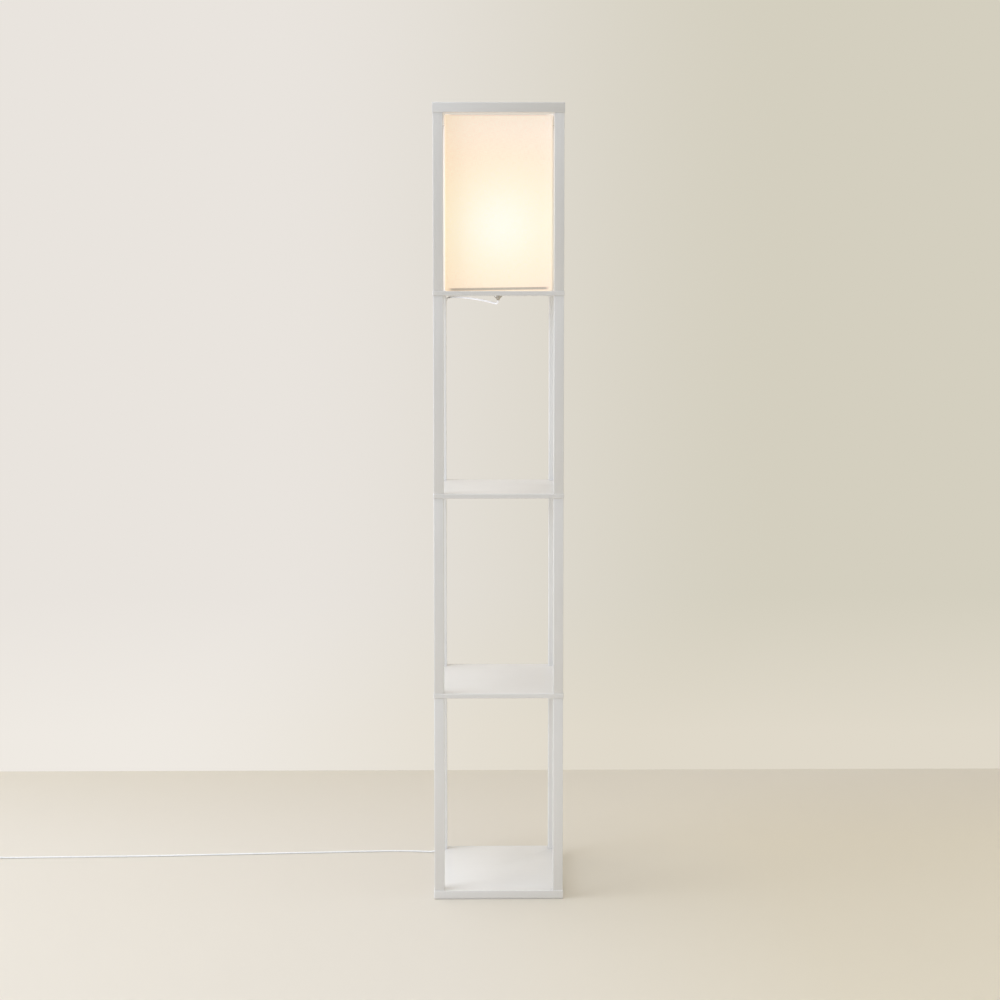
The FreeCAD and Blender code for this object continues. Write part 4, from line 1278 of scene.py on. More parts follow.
@dataclass
class Lampholder:
    """The plastic lampholder: a cap, a ribbed shell and a brass screw shell with a contact."""

    columns: int = 96
    latch_heights: Range = (0.0098, 0.0120)
    latch_inside: float = 0.0185
    latch_columns: int = 8
    latch_depth: float = 0.0006
    latch_rim: float = 0.0003
    rib_heights: Range = (0.004, 0.025)
    rib_inside: float = 0.018
    rib_rise: float = 0.0005
    thread_radius: float = 0.0142
    thread_depth: float = 0.0009
    thread_pitch: float = 0.0036
    thread_gap: float = 0.0002
    brass: float = 0.0003

    def cap(self) -> bpy.types.Object:
        """The domed cap, with a groove above its skirt and two sunk latches.

        Returns:
            The cap.
        """
        profile = [
            (0.0053, 0.0003), (0.0056, 0.0), (0.0117, 0.0), (0.0120, 0.0003), (0.0120, 0.0016),
            (0.0125, 0.0027), (0.0140, 0.0047), (0.0162, 0.0067), (0.0179, 0.0080),
            (0.0187, 0.0089), (0.0190, 0.0098), (0.0190, 0.0120), (0.0187, 0.0122),
            (0.0187, 0.0127), (0.0190, 0.0129), (0.0190, 0.0136), (0.0187, 0.0140),
            (0.0172, 0.0140), (0.0170, 0.0138), (0.0170, 0.0102), (0.0110, 0.0036),
            (0.0053, 0.0030), (0.0053, 0.0003),
        ]
        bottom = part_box("lampholder_cap")[0][2]
        obj = spun("lampholder_cap_moulded", profile, bottom, self.columns)
        low, high = (bottom + height for height in self.latch_heights)

        def on_latch(middle: Vector, normal: Vector, side: int) -> bool:
            """Whether an upright face of the skirt is on the latch at a column."""
            past = (column(middle, self.columns) - side + self.latch_columns // 2) % self.columns
            outside = abs(normal.z) < 0.1 and middle.xy.length > self.latch_inside
            return outside and low < middle.z < high and past < self.latch_columns

        with editing(obj):
            for side in (0, self.columns // 2):
                pick_faces(obj, lambda middle, normal: on_latch(middle, normal, side))
                raise_faces(-self.latch_depth, self.latch_rim)
        return smooth(obj)

    def shell(self) -> bpy.types.Object:
        """The shell, with upright grip ribs round it.

        Returns:
            The shell.
        """
        profile = [
            (0.0058, 0.0), (0.0186, 0.0), (0.0190, 0.0004), (0.0190, 0.0033), (0.0185, 0.0038),
            (0.0185, 0.0251), (0.0190, 0.0256), (0.0190, 0.0283), (0.0177, 0.0298),
            (0.0172, 0.0300), (0.0150, 0.0300), (0.0145, 0.0295), (0.0145, 0.0030),
            (0.0058, 0.0030), (0.0058, 0.0),
        ]
        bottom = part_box("lampholder_shell")[0][2]
        obj = spun("lampholder_shell_ribbed", profile, bottom, self.columns)
        low, high = (bottom + height for height in self.rib_heights)
        with editing(obj):
            pick_faces(
                obj,
                lambda middle, normal: low < middle.z < high
                and middle.xy.length > self.rib_inside
                and column(middle, self.columns) % 2 == 0,
            )
            raise_faces(self.rib_rise)
        return smooth(obj)

    def screw_shell(self) -> bpy.types.Object:
        """The pressed brass screw shell, open at both ends.

        Returns:
            The screw shell.
        """
        low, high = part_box("holder_screw_shell")
        obj = threaded(
            "holder_screw_shell_pressed",
            self.thread_radius,
            self.thread_depth,
            self.thread_pitch,
            low[2] + self.thread_gap,
            high[2] - self.thread_gap,
            False,
        )
        apply_modifier(obj, "SOLIDIFY", thickness=self.brass, offset=-1.0)
        return smooth(obj, 60)

    def build(self, plastic: bpy.types.Material, brass: bpy.types.Material) -> None:
        """Makes the lampholder.

        Args:
            plastic: The moulded pieces' finish.
            brass: The screw shell's finish.
        """
        cap = dress(self.cap(), plastic, "frame")
        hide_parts("lampholder_cap")
        shell = dress(self.shell(), plastic, "frame")
        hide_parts("lampholder_shell")
        thread = dress(self.screw_shell(), brass, "frame")
        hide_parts("holder_screw_shell")


@dataclass
class Bulb:
    """The lamp bulb: a threaded cap with an insulator and a tip, a flared body and a globe."""

    globe_radius: float = 0.030
    globe_wall: float = 0.0012
    globe_steps: tuple[int, int] = (14, 20)
    thread_radius: float = 0.0131
    thread_depth: float = 0.0009
    thread_pitch: float = 0.0036
    thread_heights: Range = (0.0064, 0.0226)

    def cap(self) -> dict[str, bpy.types.Object]:
        """The cap's pieces, by the slot that each takes its finish from.

        Returns:
            The pieces, of which the first has the thread.
        """
        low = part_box("bulb_cap")[0][2]
        thread = threaded(
            "bulb_cap_threaded",
            self.thread_radius,
            self.thread_depth,
            self.thread_pitch,
            *(low + height for height in self.thread_heights),
            True,
        )
        collar = [
            (0.0, 0.0224), (0.0122, 0.0224), (0.0130, 0.0228), (0.0131, 0.0232),
            (0.0131, 0.0256), (0.0128, 0.0260), (0.0, 0.0260),
        ]
        insulator = [
            (0.0, 0.0012), (0.0046, 0.0013), (0.0053, 0.0017), (0.0080, 0.0036),
            (0.0104, 0.0053), (0.0117, 0.0059), (0.0120, 0.0064), (0.0120, 0.0068), (0.0, 0.0068),
        ]
        tip = [
            (0.0, 0.0), (0.0031, 0.0001), (0.0042, 0.0004), (0.0045, 0.0009), (0.0045, 0.0016),
            (0.0, 0.0016),
        ]
        made = {"thread": smooth(thread, 60)}
        for name, profile in (("collar", collar), ("insulator", insulator), ("tip", tip)):
            made[name] = smooth(spun(f"bulb_{name}", profile, low, 64))
        return made

    def body(self) -> bpy.types.Object:
        """The flared body, with a fine groove under the globe.

        Returns:
            The body.
        """
        profile = [
            (0.0, 0.0), (0.0128, 0.0), (0.0131, 0.0003), (0.0131, 0.0010), (0.0135, 0.0022),
            (0.0145, 0.0040), (0.0161, 0.0076), (0.0183, 0.0125), (0.0208, 0.0185),
            (0.0232, 0.0250), (0.0254, 0.0320), (0.0268, 0.0374), (0.0272, 0.0389),
            (0.0270, 0.0391), (0.0270, 0.0394), (0.0276, 0.0396), (0.0279, 0.0398),
            (0.0279, 0.0400), (0.0264, 0.0400), (0.0262, 0.0398), (0.0262, 0.0364), (0.0, 0.0364),
        ]
        return smooth(spun("bulb_body_flared", profile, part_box("bulb_body")[0][2], 72), 50)

    def globe(self) -> bpy.types.Object:
        """The frosted globe, a thin shell.

        Returns:
            The globe.
        """
        low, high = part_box("bulb_globe")
        middle = high[2] - self.globe_radius

        def arc(radius: float, steps: int) -> list[tuple[float, float]]:
            """One side of the globe's wall, from the body up to the pole."""
            start = math.asin((low[2] - middle) / radius)
            turns = [start + (math.pi / 2 - start) * i / steps for i in range(steps + 1)]
            return [
                (radius * max(math.cos(turn), 0.0), middle + radius * math.sin(turn))
                for turn in turns
            ]

        inside = arc(self.globe_radius - self.globe_wall, self.globe_steps[0])
        outside = arc(self.globe_radius, self.globe_steps[1])
        return smooth(spun("bulb_globe_frosted", inside[::-1] + outside, 0.0, 72), 60)

    def build(
        self, metal: bpy.types.Material, plastic: bpy.types.Material, opal: bpy.types.Material
    ) -> None:
        """Makes the bulb.

        Args:
            metal: The cap's finish.
            plastic: The body's and the insulator's finish.
            opal: The globe's finish.
        """
        for name, piece in self.cap().items():
            insulator = name == "insulator"
            dress(piece, plastic if insulator else metal, "bulb")
            if name == "thread":
                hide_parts("bulb_cap")
        body = dress(self.body(), plastic, "bulb")
        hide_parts("bulb_body")
        globe = dress(self.globe(), opal, "bulb")
        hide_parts("bulb_globe")


@dataclass
class ConeNut:
    """The polished nut under the lamp shelf that the lead comes out of."""

    top: float = 1.2129
    radius: float = 0.0085
    rim: float = 0.0016
    tall: float = 0.009
    tip: float = 0.0027
    bore: float = 0.002

    def build(self, chrome: bpy.types.Material) -> None:
        """Makes the nut.

        Args:
            chrome: Its material.
        """
        r, t = self.radius, self.tall
        profile = [
            (self.bore, 0.0020),
            (self.bore, 0.0003),
            (self.bore + 0.0003, 0.0),
            (self.tip, 0.0),
            (self.tip + 0.0003, 0.0003),
            (self.tip + 0.0004, 0.0009),
            (self.tip + 0.0002, 0.0013),
            (self.tip + 0.0008, 0.0024),
            (self.tip + 0.0021, 0.0042),
            (self.tip + 0.0040, 0.0059),
            (r - 0.0007, t - self.rim - 0.0005),
            (r - 0.0004, t - self.rim - 0.0001),
            (r - 0.0001, t - self.rim + 0.0002),
            (r, t - self.rim + 0.0005),
            (r, t - 0.0003),
            (r - 0.0003, t),
            (0.0055, t),
            (0.0051, t - 0.0004),
            (0.0051, 0.0046),
            (self.bore, 0.0045),
            (self.bore, 0.0020),
        ]
        nut = smooth(spun("cone_nut_turned", profile, self.top - t, 64), 40)
        dress(nut, chrome, "frame")
        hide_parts("cone_nut")


# --- Lead -----------------------------------------------------------------------------------

# From under the cone nut to the rear left corner of the lamp shelf, and down behind the rear
# left posts to the floor, as the part's source has it.
DOWN = (-0.119, 0.1329)
RISER: list[Point] = [
    (0.0, 0.0, 1.2039),
    (0.0, 0.0, 1.2004),
    (-0.0016, 0.0019, 1.1978),
    (-0.006, 0.007, 1.1972),
    (-0.0145, 0.017, 1.2),
    (-0.03, 0.0352, 1.2036),
    (-0.051, 0.06, 1.2074),
    (-0.077, 0.09, 1.2103),
    (-0.099, 0.115, 1.2107),
    (-0.1063, 0.1295, 1.2094),
    (-0.1105, 0.14, 1.2035),
    (-0.1145, 0.144, 1.1925),
    (-0.1175, 0.1425, 1.18),
    (-0.119, 0.1375, 1.166),
    (-0.119, 0.1336, 1.148),
    (*DOWN, 1.128),
    (*DOWN, 0.045),
    (-0.12, 0.133, 0.028),
    (-0.124, 0.1338, 0.014),
    (-0.132, 0.135, 0.0052),
    (-0.143, 0.1368, 0.00185),
    (-0.155, 0.13824, 0.00185),
]
# Along the floor to the switch.
ON_FLOOR: list[Point] = [
    (-0.183, 0.1416, 0.00185),
    (-0.224, 0.1434, 0.00185),
    (-0.272, 0.1416, 0.00185),
    (-0.328, 0.1389, 0.00185),
    (-0.385, 0.1353, 0.00185),
    (-0.443, 0.133, 0.00185),
    (-0.5, 0.1299, 0.00185),
    (-0.557, 0.1272, 0.00185),
    (-0.614, 0.1239, 0.00185),
    (-0.672, 0.1214, 0.00185),
    (-0.729, 0.1182, 0.00185),
    (-0.786, 0.116, 0.00185),
    (-0.843, 0.1149, 0.00185),
    (-0.9, 0.1129, 0.00185),
    (-0.957, 0.1122, 0.00185),
    (-1.013, 0.1106, 0.00185),
    (-1.058, 0.1091, 0.00185),
    (-1.088, 0.1083, 0.0029),
    (-1.102, 0.108, 0.0044),
    (-1.112, 0.108, 0.0044),
]
# From the switch to where the coil starts.
TAIL: list[Point] = [
    (-1.22, 0.108, 0.0044),
    (-1.227, 0.108, 0.0044),
    (-1.238, 0.108, 0.00185),
    (-1.245, 0.108, 0.00185),
]


@dataclass
class Lead:
    """The mains lead: from the lampholder to the switch, and from there to the plug."""

    diameter: float = 0.0036
    coil_centre: tuple[float, float] = (-1.2486, 0.083)
    coil_radius: float = 0.025
    coil_pitch: float = 0.0041
    coil_rise: float = 0.0042
    half_turns: int = 5
    steps: int = 8
    run_out: float = 0.0036
    plug_axis: float = 0.008

    def spline(self, name: str, route: Sequence[Point]) -> bpy.types.Object:
        """A round lead on a smooth line.

        Args:
            name: The piece's name.
            route: The line's control points.

        Returns:
            The curve.
        """
        data = bpy.data.curves.new(name, "CURVE")
        data.dimensions = "3D"
        line = data.splines.new("NURBS")
        line.points.add(len(route) - 1)
        for point, place in zip(line.points, route):
            point.co = (*place, 1.0)
        line.order_u = 3
        line.use_endpoint_u = True
        data.resolution_u = 10
        data.bevel_depth = self.diameter / 2
        data.bevel_resolution = 5
        return added(name, data)

    def half_turn(
        self, start: Point, radius: float, side: int, rise: float = 0.0
    ) -> tuple[list[Point], Point]:
        """Half a turn of the coil, as the corners that the smooth line runs inside.

        Args:
            start: Where it starts, heading along X.
            radius: Its radius.
            side: 1 where it starts at the rear, and -1 where it starts at the front.
            rise: How far it climbs.

        Returns:
            Its control points, and where it ends.
        """
        step = math.pi / self.steps
        reach = radius / math.cos(step / 2)
        middle = start[1] - side * radius
        points = []
        for number in range(self.steps):
            angle = (number + 0.5) * step
            x = start[0] - side * reach * math.sin(angle)
            y = middle + side * reach * math.cos(angle)
            points.append((x, y, start[2] + rise * (number + 0.5) / self.steps))
        return points, (start[0], start[1] - side * 2 * radius, start[2] + rise)

    def coil(self) -> list[Point]:
        """The turns of the coil, winding in on the floor and out again on top.

        Returns:
            The control points from the tail to the plug.
        """
        radius = self.coil_radius
        at = (self.coil_centre[0], self.coil_centre[1] + radius, TAIL[-1][2])
        side = 1
        points: list[Point] = []
        for _ in range(self.half_turns):
            turn, at = self.half_turn(at, radius, side)
            points += turn
            radius -= self.coil_pitch / 2
            side = -side
        turn, at = self.half_turn(at, radius, side, self.coil_rise)
        points += turn
        side = -side
        for _ in range(self.half_turns):
            radius += self.coil_pitch / 2
            turn, at = self.half_turn(at, radius, side)
            points += turn
            side = -side
        leaves = at[0] + self.run_out
        ramp = ((0.0, at[2]), (0.005, at[2]), (0.012, self.plug_axis), (0.017, self.plug_axis))
        return points + [(leaves + along, at[1], height) for along, height in ramp]

    @property
    def bundle(self) -> Point:
        """The inner and outer radius of the coil's turns on its left, and how high they reach."""
        inner = self.coil_radius - (self.half_turns - 1) * self.coil_pitch / 2
        reach = self.diameter / 2
        return inner - reach, self.coil_radius + reach, TAIL[-1][2] + self.coil_rise + reach

    def build(
        self,
        sheath: bpy.types.Material,
        on_main: Sequence[bpy.types.Object | str],
        on_end: Sequence[bpy.types.Object | str],
    ) -> None:
        """Makes both stretches of the lead.

        Args:
            sheath: The lead's material.
            on_main: The switch's pieces; not used.
            on_end: The plug's and the tie's pieces; not used.
        """
        main = self.spline("lead_to_switch", RISER + ON_FLOOR)
        dress(main, sheath, "frame")
        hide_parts("lead_riser", "lead_floor")
        end = self.spline("lead_to_plug", TAIL + self.coil())
        dress(end, sheath, "frame")
        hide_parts("lead_tail", "lead_coil", "plug_lead")


# --- Switch, plug and tie --------------------------------------------------------------------


@dataclass
class Switch:
    """The in-line switch: a bezel, a dished rocker with its two marks, and strain reliefs."""

    window: tuple[float, float] = (0.0228, 0.0128)
    window_corner: float = 0.0012
    bezel: float = 0.0016
    bezel_rise: float = 0.0005
    bezel_sink: float = 0.0003
    bezel_ease: float = 0.0003
    tilt: float = math.radians(8.0)
    rocker_ease: float = 0.00035
    rocker_half: float = 0.01045
    rocker_height: float = 0.003
    rocker_wing: float = 0.0011
    pivot_drop: float = 0.0032
    mark_at: float = 0.0058
    mark_size: float = 0.0036
    mark_line: float = 0.0007
    mark_low: float = -0.0001
    mark_side: float = 0.00007
    mark_top: float = 0.00012
    bar_ease: float = 0.00008
    ring_ease: float = 0.00006
    relief_axis: float = 0.0044
    relief_radii: tuple[float, float] = (0.0038, 0.0023)
    relief_ribs: int = 6

    def make_bezel(self, centre: Sequence[float], top: float) -> bpy.types.Object:
        """The raised rim round the rocker's window.

        Args:
            centre: The window's middle.
            top: The cover's height.

        Returns:
            The rim.
        """
        place = (centre[0], centre[1], top - self.bezel_sink)
        bpy.ops.mesh.primitive_plane_add(size=1, location=place)
        obj = take(bpy.context.object, "switch_bezel")
        stretched(obj, (*(side + 2 * self.bezel for side in self.window), 1))
        with editing(obj, "VERT"):
            bpy.ops.mesh.select_all(action="SELECT")
            corner = self.window_corner + self.bezel
            bpy.ops.mesh.bevel(offset=corner, segments=6, affect="VERTICES")
        with editing(obj):
            bpy.ops.mesh.select_all(action="SELECT")
            bpy.ops.mesh.inset(thickness=self.bezel)
            bpy.ops.mesh.delete(type="FACE")
        thick = self.bezel_rise + self.bezel_sink
        apply_modifier(obj, "SOLIDIFY", thickness=thick, offset=1.0)
        soften(obj, self.bezel_ease, 3, use_clamp_overlap=False)
        return smooth(obj)

    def make_mark(self, side: int, pivot: Vector) -> bpy.types.Object:
        """A bar or a ring moulded on one end of the rocker.

        Args:
            side: 1 for the ring and -1 for the bar.
            pivot: The rocker's pivot.

        Returns:
            The mark.
        """
        slope = math.atan2(self.rocker_wing, self.rocker_half)
        height = self.rocker_height + self.rocker_wing * self.mark_at / self.rocker_half
        line, half = self.mark_line, self.mark_size / 2
        low, top = self.mark_low, self.mark_top
        if side < 0:
            obj = box("rocker_mark_bar", (-line / 2, -half, low), (line / 2, half, top))
            soften(obj, self.bar_ease)
        else:
            hole = half - line
            profile = [
                (hole, low),
                (half, low),
                (half, self.mark_side),
                (half - self.ring_ease, top),
                (hole + self.ring_ease, top),
                (hole, self.mark_side),
                (hole, low),
            ]
            obj = spun("rocker_mark_ring", profile, 0.0, 40)
        place = Vector((side * self.mark_at, 0.0, height))
        turn = self.tilt - side * slope
        cos, sin = math.cos(self.tilt), math.sin(self.tilt)
        obj.rotation_euler = (0.0, turn, 0.0)
        obj.location = pivot + Vector(
            (place.x * cos + place.z * sin, 0.0, place.z * cos - place.x * sin)
        )
        return smooth(bake_place(obj))

    def build(
        self,
        nodes: dict[str, bpy.types.Object],
        plastic: bpy.types.Material,
        rubber: bpy.types.Material,
    ) -> tuple[list[bpy.types.Object], bpy.types.Object]:
        """Makes the switch's pieces.

        Args:
            nodes: The CAD pieces by name.
            plastic: The moulding's finish.
            rubber: The strain reliefs' finish.

        Returns:
            The pieces on the lead from the lamp, and the strain relief of the lead to the plug.
        """
        low, high = (Vector(corner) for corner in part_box("switch_cover"))
        middle = (low + high) / 2
        pivot = Vector((middle.x, middle.y, high.z - self.pivot_drop))
        bezel = dress(self.make_bezel(middle, high.z), plastic, "frame")
        rocker = eased(nodes["switch_rocker"], "switch_rocker_dished", self.rocker_ease, 3)
        dress(rocker, plastic, "rocker")
        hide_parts("switch_rocker")
        pieces = [bezel, rocker]
        for side in (-1, 1):
            pieces.append(dress(self.make_mark(side, pivot), plastic, "rocker"))
        for side, name in ((1, "lamp"), (-1, "plug")):
            end = high.x if side > 0 else low.x
            length = abs(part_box("switch_reliefs")[1 if side > 0 else 0][0] - end)
            relief = ribbed_relief(
                f"switch_relief_{name}_side",
                (end, middle.y, self.relief_axis),
                side,
                length,
                *self.relief_radii,
                self.relief_ribs,
            )
            pieces.append(dress(relief, rubber, "frame"))
        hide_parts("switch_reliefs")
        return pieces[:-1], pieces[-1]


@dataclass
class Plug:
    """The moulded two-blade plug, with grips on its sides and a grooved strain relief."""

    width: float = 0.024
    height: float = 0.016
    length: float = 0.028
    edge: float = 0.003
    grip_start: float = 0.006
    grip_width: float = 0.0014
    grip_lines: int = 11
    grip_depth: float = 0.0006
    grip_rim: float = 0.0002
    panel_rim: float = 0.0025
    panel_depth: float = 0.0004
    panel_slope: float = 0.0003
    relief_length: float = 0.020
    relief_radii: tuple[float, float] = (0.0055, 0.0026)
    relief_ribs: int = 6
    relief_sunk: float = 0.0004
    blade_gap: float = 0.0127
    blade_thick: float = 0.0015
    blade_corner: float = 0.0016
    blade_ease: float = 0.0002
    blade_hole: float = 0.0016
    blade_hole_from_end: float = 0.0045

    def make_body(self, low: Vector, axis: float) -> bpy.types.Object:
        """The plug's body.

        Args:
            low: Where the body starts at the strain relief, on the floor.
            axis: The middle of its width.

        Returns:
            The body.
        """
        start = (low.x, axis - self.width / 2, low.z)
        end = (low.x + self.length, axis + self.width / 2, low.z + self.height)
        obj = box("plug_body_moulded", start, end)
        soften(obj, self.edge, 6)
        wide = self.grip_width
        strips = [low.x + self.grip_start + wide * number for number in range(self.grip_lines)]
        with editing(obj):
            cut_across(0, strips)
            pick_faces(
                obj,
                lambda middle, normal: abs(normal.y) > 0.9999
                and strips[0] < middle.x < strips[-1]
                and int((middle.x - strips[0]) / wide) % 2 == 0,
            )
            raise_faces(-self.grip_depth, self.grip_rim)
            pick_faces(obj, lambda middle, normal: middle.z > end[2] - WELD)
            bpy.ops.mesh.inset(thickness=self.panel_rim)
            raise_faces(-self.panel_depth, self.panel_slope)
        return smooth(obj, 30)

    def make_blades(self, axis: float) -> bpy.types.Object:
        """Both blades, each with a hole near its rounded end.

        Args:
            axis: The middle of the plug's width.

        Returns:
            The blades.
        """
        low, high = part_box("plug_blades")
        thick = self.blade_thick
        blades = []
        for side, name in ((-1, "near"), (1, "far")):
            at = axis + side * self.blade_gap / 2
            start = (low[0], at - thick / 2, low[2])
            blade = box(f"plug_blade_{name}", start, (high[0], at + thick / 2, high[2]))
            with editing(blade, "EDGE"):
                pick_edges(
                    blade,
                    lambda a, b: min(a.x, b.x) > high[0] - 0.0001 and abs(a.y - b.y) > 0.001,
                )
                bpy.ops.mesh.bevel(offset=self.blade_corner, segments=5, affect="EDGES")
            bpy.ops.mesh.primitive_cylinder_add(
                radius=self.blade_hole,
                depth=4 * thick,
                vertices=32,
                location=(high[0] - self.blade_hole_from_end, at, (low[2] + high[2]) / 2),
                rotation=(math.pi / 2, 0, 0),
            )
            drill = bake_place(bpy.context.object)
            apply_modifier(blade, "BOOLEAN", operation="DIFFERENCE", object=drill, solver="EXACT")
            bpy.data.objects.remove(drill)
            soften(blade, self.blade_ease, use_clamp_overlap=False)
            blades.append(blade)
        activate(*blades)
        bpy.ops.object.join()
        return smooth(take(blades[0], "plug_blades_drilled"))

    def build(
        self, plastic: bpy.types.Material, brass: bpy.types.Material
    ) -> list[bpy.types.Object]:
        """Makes the plug.

        Args:
            plastic: The moulding's finish.
            brass: The blades' finish.

        Returns:
            The pieces that lie on the lead.
        """
        low, high = (Vector(corner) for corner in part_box("plug_body"))
        axis = (low.y + high.y) / 2
        start = Vector((low.x + self.relief_length, axis, low.z))
        body = dress(self.make_body(start, axis), plastic, "frame")
        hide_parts("plug_body")
        relief = ribbed_relief(
            "plug_relief",
            (start.x + self.relief_sunk, axis, self.height / 2),
            -1,
            self.relief_length + self.relief_sunk,
            *self.relief_radii,
            self.relief_ribs,
        )
        dress(relief, plastic, "frame")
        blades = dress(self.make_blades(axis), brass, "frame")
        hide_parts("plug_blades")
        return [body, relief, blades]


@dataclass
class Tie:
    """The soft strap that holds the coiled lead together."""

    width: float = 0.0035
    thick: float = 0.0005
    corner: float = 0.0018
    ease: float = 0.00012
    lap_reach: Range = (-0.003, 0.005)
    lap_sunk: float = 0.0001
    lap_corner: float = 0.0014

    def build(
        self,
        inner: float,
        outer: float,
        top: float,
        centre: tuple[float, float],
        rubber: bpy.types.Material,
    ) -> list[bpy.types.Object]:
        """Makes the strap round the coil's turns, and its lapped end.

        Args:
            inner: The turns' inner radius.
            outer: Their outer radius.
            top: How high the turns reach.
            centre: The coil's middle.
            rubber: The strap's finish.

        Returns:
            The strap and its lapped end.
        """
        x, y = centre
        low = (x - outer, y - self.width / 2, self.thick)
        high = (x - inner, y + self.width / 2, top)
        strap = box("coil_strap", low, high)
        with editing(strap):
            pick_faces(strap, lambda middle, normal: abs(normal.y) > 0.9)
            bpy.ops.mesh.delete(type="FACE")
        with editing(strap, "EDGE"):
            pick_edges(strap, lambda a, b: abs(a.y - b.y) > 0.001)
            bpy.ops.mesh.bevel(offset=self.corner, segments=6, affect="EDGES")
        with editing(strap):
            turn_solid()
        apply_modifier(strap, "SOLIDIFY", thickness=self.thick, offset=1.0)
        soften(strap, self.ease)
        middle = x - (inner + outer) / 2
        start, end = (middle + reach for reach in self.lap_reach)
        low = (start, y - self.width / 2, top + self.thick - self.lap_sunk)
        lap = box("coil_strap_end", low, (end, y + self.width / 2, top + 2 * self.thick))
        with editing(lap, "EDGE"):
            pick_edges(lap, lambda a, b: abs(a.z - b.z) > 0.0001 and a.x > middle)
            bpy.ops.mesh.bevel(offset=self.lap_corner, segments=5, affect="EDGES")
        soften(lap, self.ease)
        return [dress(smooth(piece), rubber, "frame") for piece in (strap, lap)]


# --- Stage ----------------------------------------------------------------------------------


@dataclass(frozen=True)
class SoftLight:
    """One soft rectangular studio light."""

    name: str
    place: Point
    target: Point
    size: tuple[float, float]
    power: float
    colour: Colour = (1.0, 1.0, 1.0)

    def build(self) -> None:
        """Makes the light."""
        data = bpy.data.lights.new(self.name, "AREA")
        data.shape = "RECTANGLE"
        data.size, data.size_y = self.size
        data.energy = self.power
        data.color = self.colour
        obj = added(self.name, data)
        obj.location = self.place
        aim = Vector(self.target) - Vector(self.place)
        obj.rotation_euler = aim.to_track_quat("-Z", "Y").to_euler()


LIGHTS = (
    SoftLight("window", (-4.4, -1.3, 1.5), (0, 0, 0.8), (3.3, 2.8), 117, (0.756, 0.842, 1.0)),
    SoftLight("right", (4.4, -1.3, 1.5), (0, 0, 0.8), (3.3, 2.8), 28, (0.98, 1.0, 0.935)),
    SoftLight("behind", (-0.9, 0.45, 3.4), (0, 0, 0.6), (2.4, 0.5), 22, (0.93, 0.96, 1.0)),
)


@dataclass(frozen=True)
class Sky:
    """The room's own light, brightest overhead and a little from the left."""

    overhead: float = 1.31
    left: float = 0.25
    low: float = 0.02
    colour: Colour = (0.97, 0.985, 1.0)

    def build(self) -> None:
        """Makes the world."""
        bench = NodeBench("studio", world=True)
        axes = bench.axes("Generated")
        up = bench.maths("MAXIMUM", axes["Z"], 0.0)
        left = bench.maths("MAXIMUM", bench.maths("MULTIPLY", axes["X"], -1.0), 0.0)
        light = bench.maths("MULTIPLY_ADD", up, self.overhead, self.low)
        light = bench.maths("MULTIPLY_ADD", left, self.left, light)
        bench.surface(Color=(*self.colour, 1.0), Strength=light)
        bpy.context.scene.world = bench.material


@dataclass(frozen=True)
class Wash:
    """The pale paint of the floor or the wall, painted darker and warmer to the right as shade of
    the light from the left.

    Along one axis it turns into a far colour: the floor is painted darker towards the wall as
    shade, and the wall lighter towards the floor.
    """

    name: str
    left: Colour
    right: Colour
    reach: Range
    far: Colour
    axis: str
    depth: Range
    roughness: float = 0.9

    def build(self) -> bpy.types.Material:
        """Makes the material."""
        bench = NodeBench(f"{self.name}_paint")
        axes = bench.axes()
        across = bench.spread(axes["X"], *self.reach)
        away = bench.spread(axes[self.axis], *self.depth)
        colour = bench.mix(away, bench.mix(across, self.left, self.right), self.far)
        bench.surface(Base_Color=colour, Roughness=self.roughness)
        return bench.material


# Both washes carry painted shade: darker to the right and, on the floor, towards the wall.
FLOOR = Wash(
    name="floor",
    left=(0.70, 0.65, 0.57),
    right=(0.69, 0.628, 0.51),
    reach=(-0.1, 0.6),
    far=(0.647, 0.594, 0.507),
    axis="Y",
    depth=(0.2, 0.7),
)
WALL = Wash(
    name="wall",
    left=(0.865, 0.803, 0.735),
    right=(0.863, 0.80, 0.69),
    reach=(-0.4, 0.7),
    far=(0.945, 0.893, 0.795),
    axis="Z",
    depth=(0.55, 0.06),
)


@dataclass(frozen=True)
class Backdrop:
    """The pale colour behind the lamp in every view, painted darker and warmer to the right as
    shade of the light from the left, and lighter low down.
    """

    left: Colour = (0.815, 0.776, 0.731)
    right: Colour = (0.658, 0.624, 0.521)
    reach: Range = (-0.151, 0.203)
    low_left: Colour = (0.863, 0.823, 0.768)
    low_right: Colour = (0.745, 0.694, 0.591)
    low_shift: float = 0.09
    depth: Range = (-0.28, -0.19)
    radius: float = 30.0

    def build(self, seen_from: Point) -> bpy.types.Object:
        """Makes a dome round the set.

        Args:
            seen_from: Where the camera stands.

        Returns:
            The dome.
        """
        bpy.ops.mesh.primitive_uv_sphere_add(radius=self.radius, segments=64, ring_count=32)
        obj = smooth(take(bpy.context.object, "backdrop"), 60)
        bench = NodeBench("backdrop_paint")
        axes = bench.axes()
        away = bench.maths("ABSOLUTE", bench.maths("SUBTRACT", axes["Y"], seen_from[1]))
        above = bench.maths("SUBTRACT", axes["Z"], seen_from[2])
        rise = bench.maths("DIVIDE", above, away)
        low = bench.spread(rise, *self.depth, (1.0, 0.0))
        across = bench.maths("DIVIDE", axes["X"], away)
        across = bench.maths("MULTIPLY_ADD", low, self.low_shift, across)
        # Painted shade: the colour grows darker and warmer to the right.
        inputs = {"Value": across, 1: self.reach[0], 2: self.reach[1]}
        share = bench.add("MapRange", inputs, interpolation_type="SMOOTHSTEP").outputs[0]
        high_paint = bench.mix(share, self.left, self.right)
        low_paint = bench.mix(share, self.low_left, self.low_right)
        bench.surface(
            Base_Color=(0.0, 0.0, 0.0, 1.0),
            Specular_IOR_Level=0.0,
            Emission_Color=bench.mix(low, high_paint, low_paint),
            Emission_Strength=1.0,
        )
        obj.data.materials.append(bench.material)
        return obj


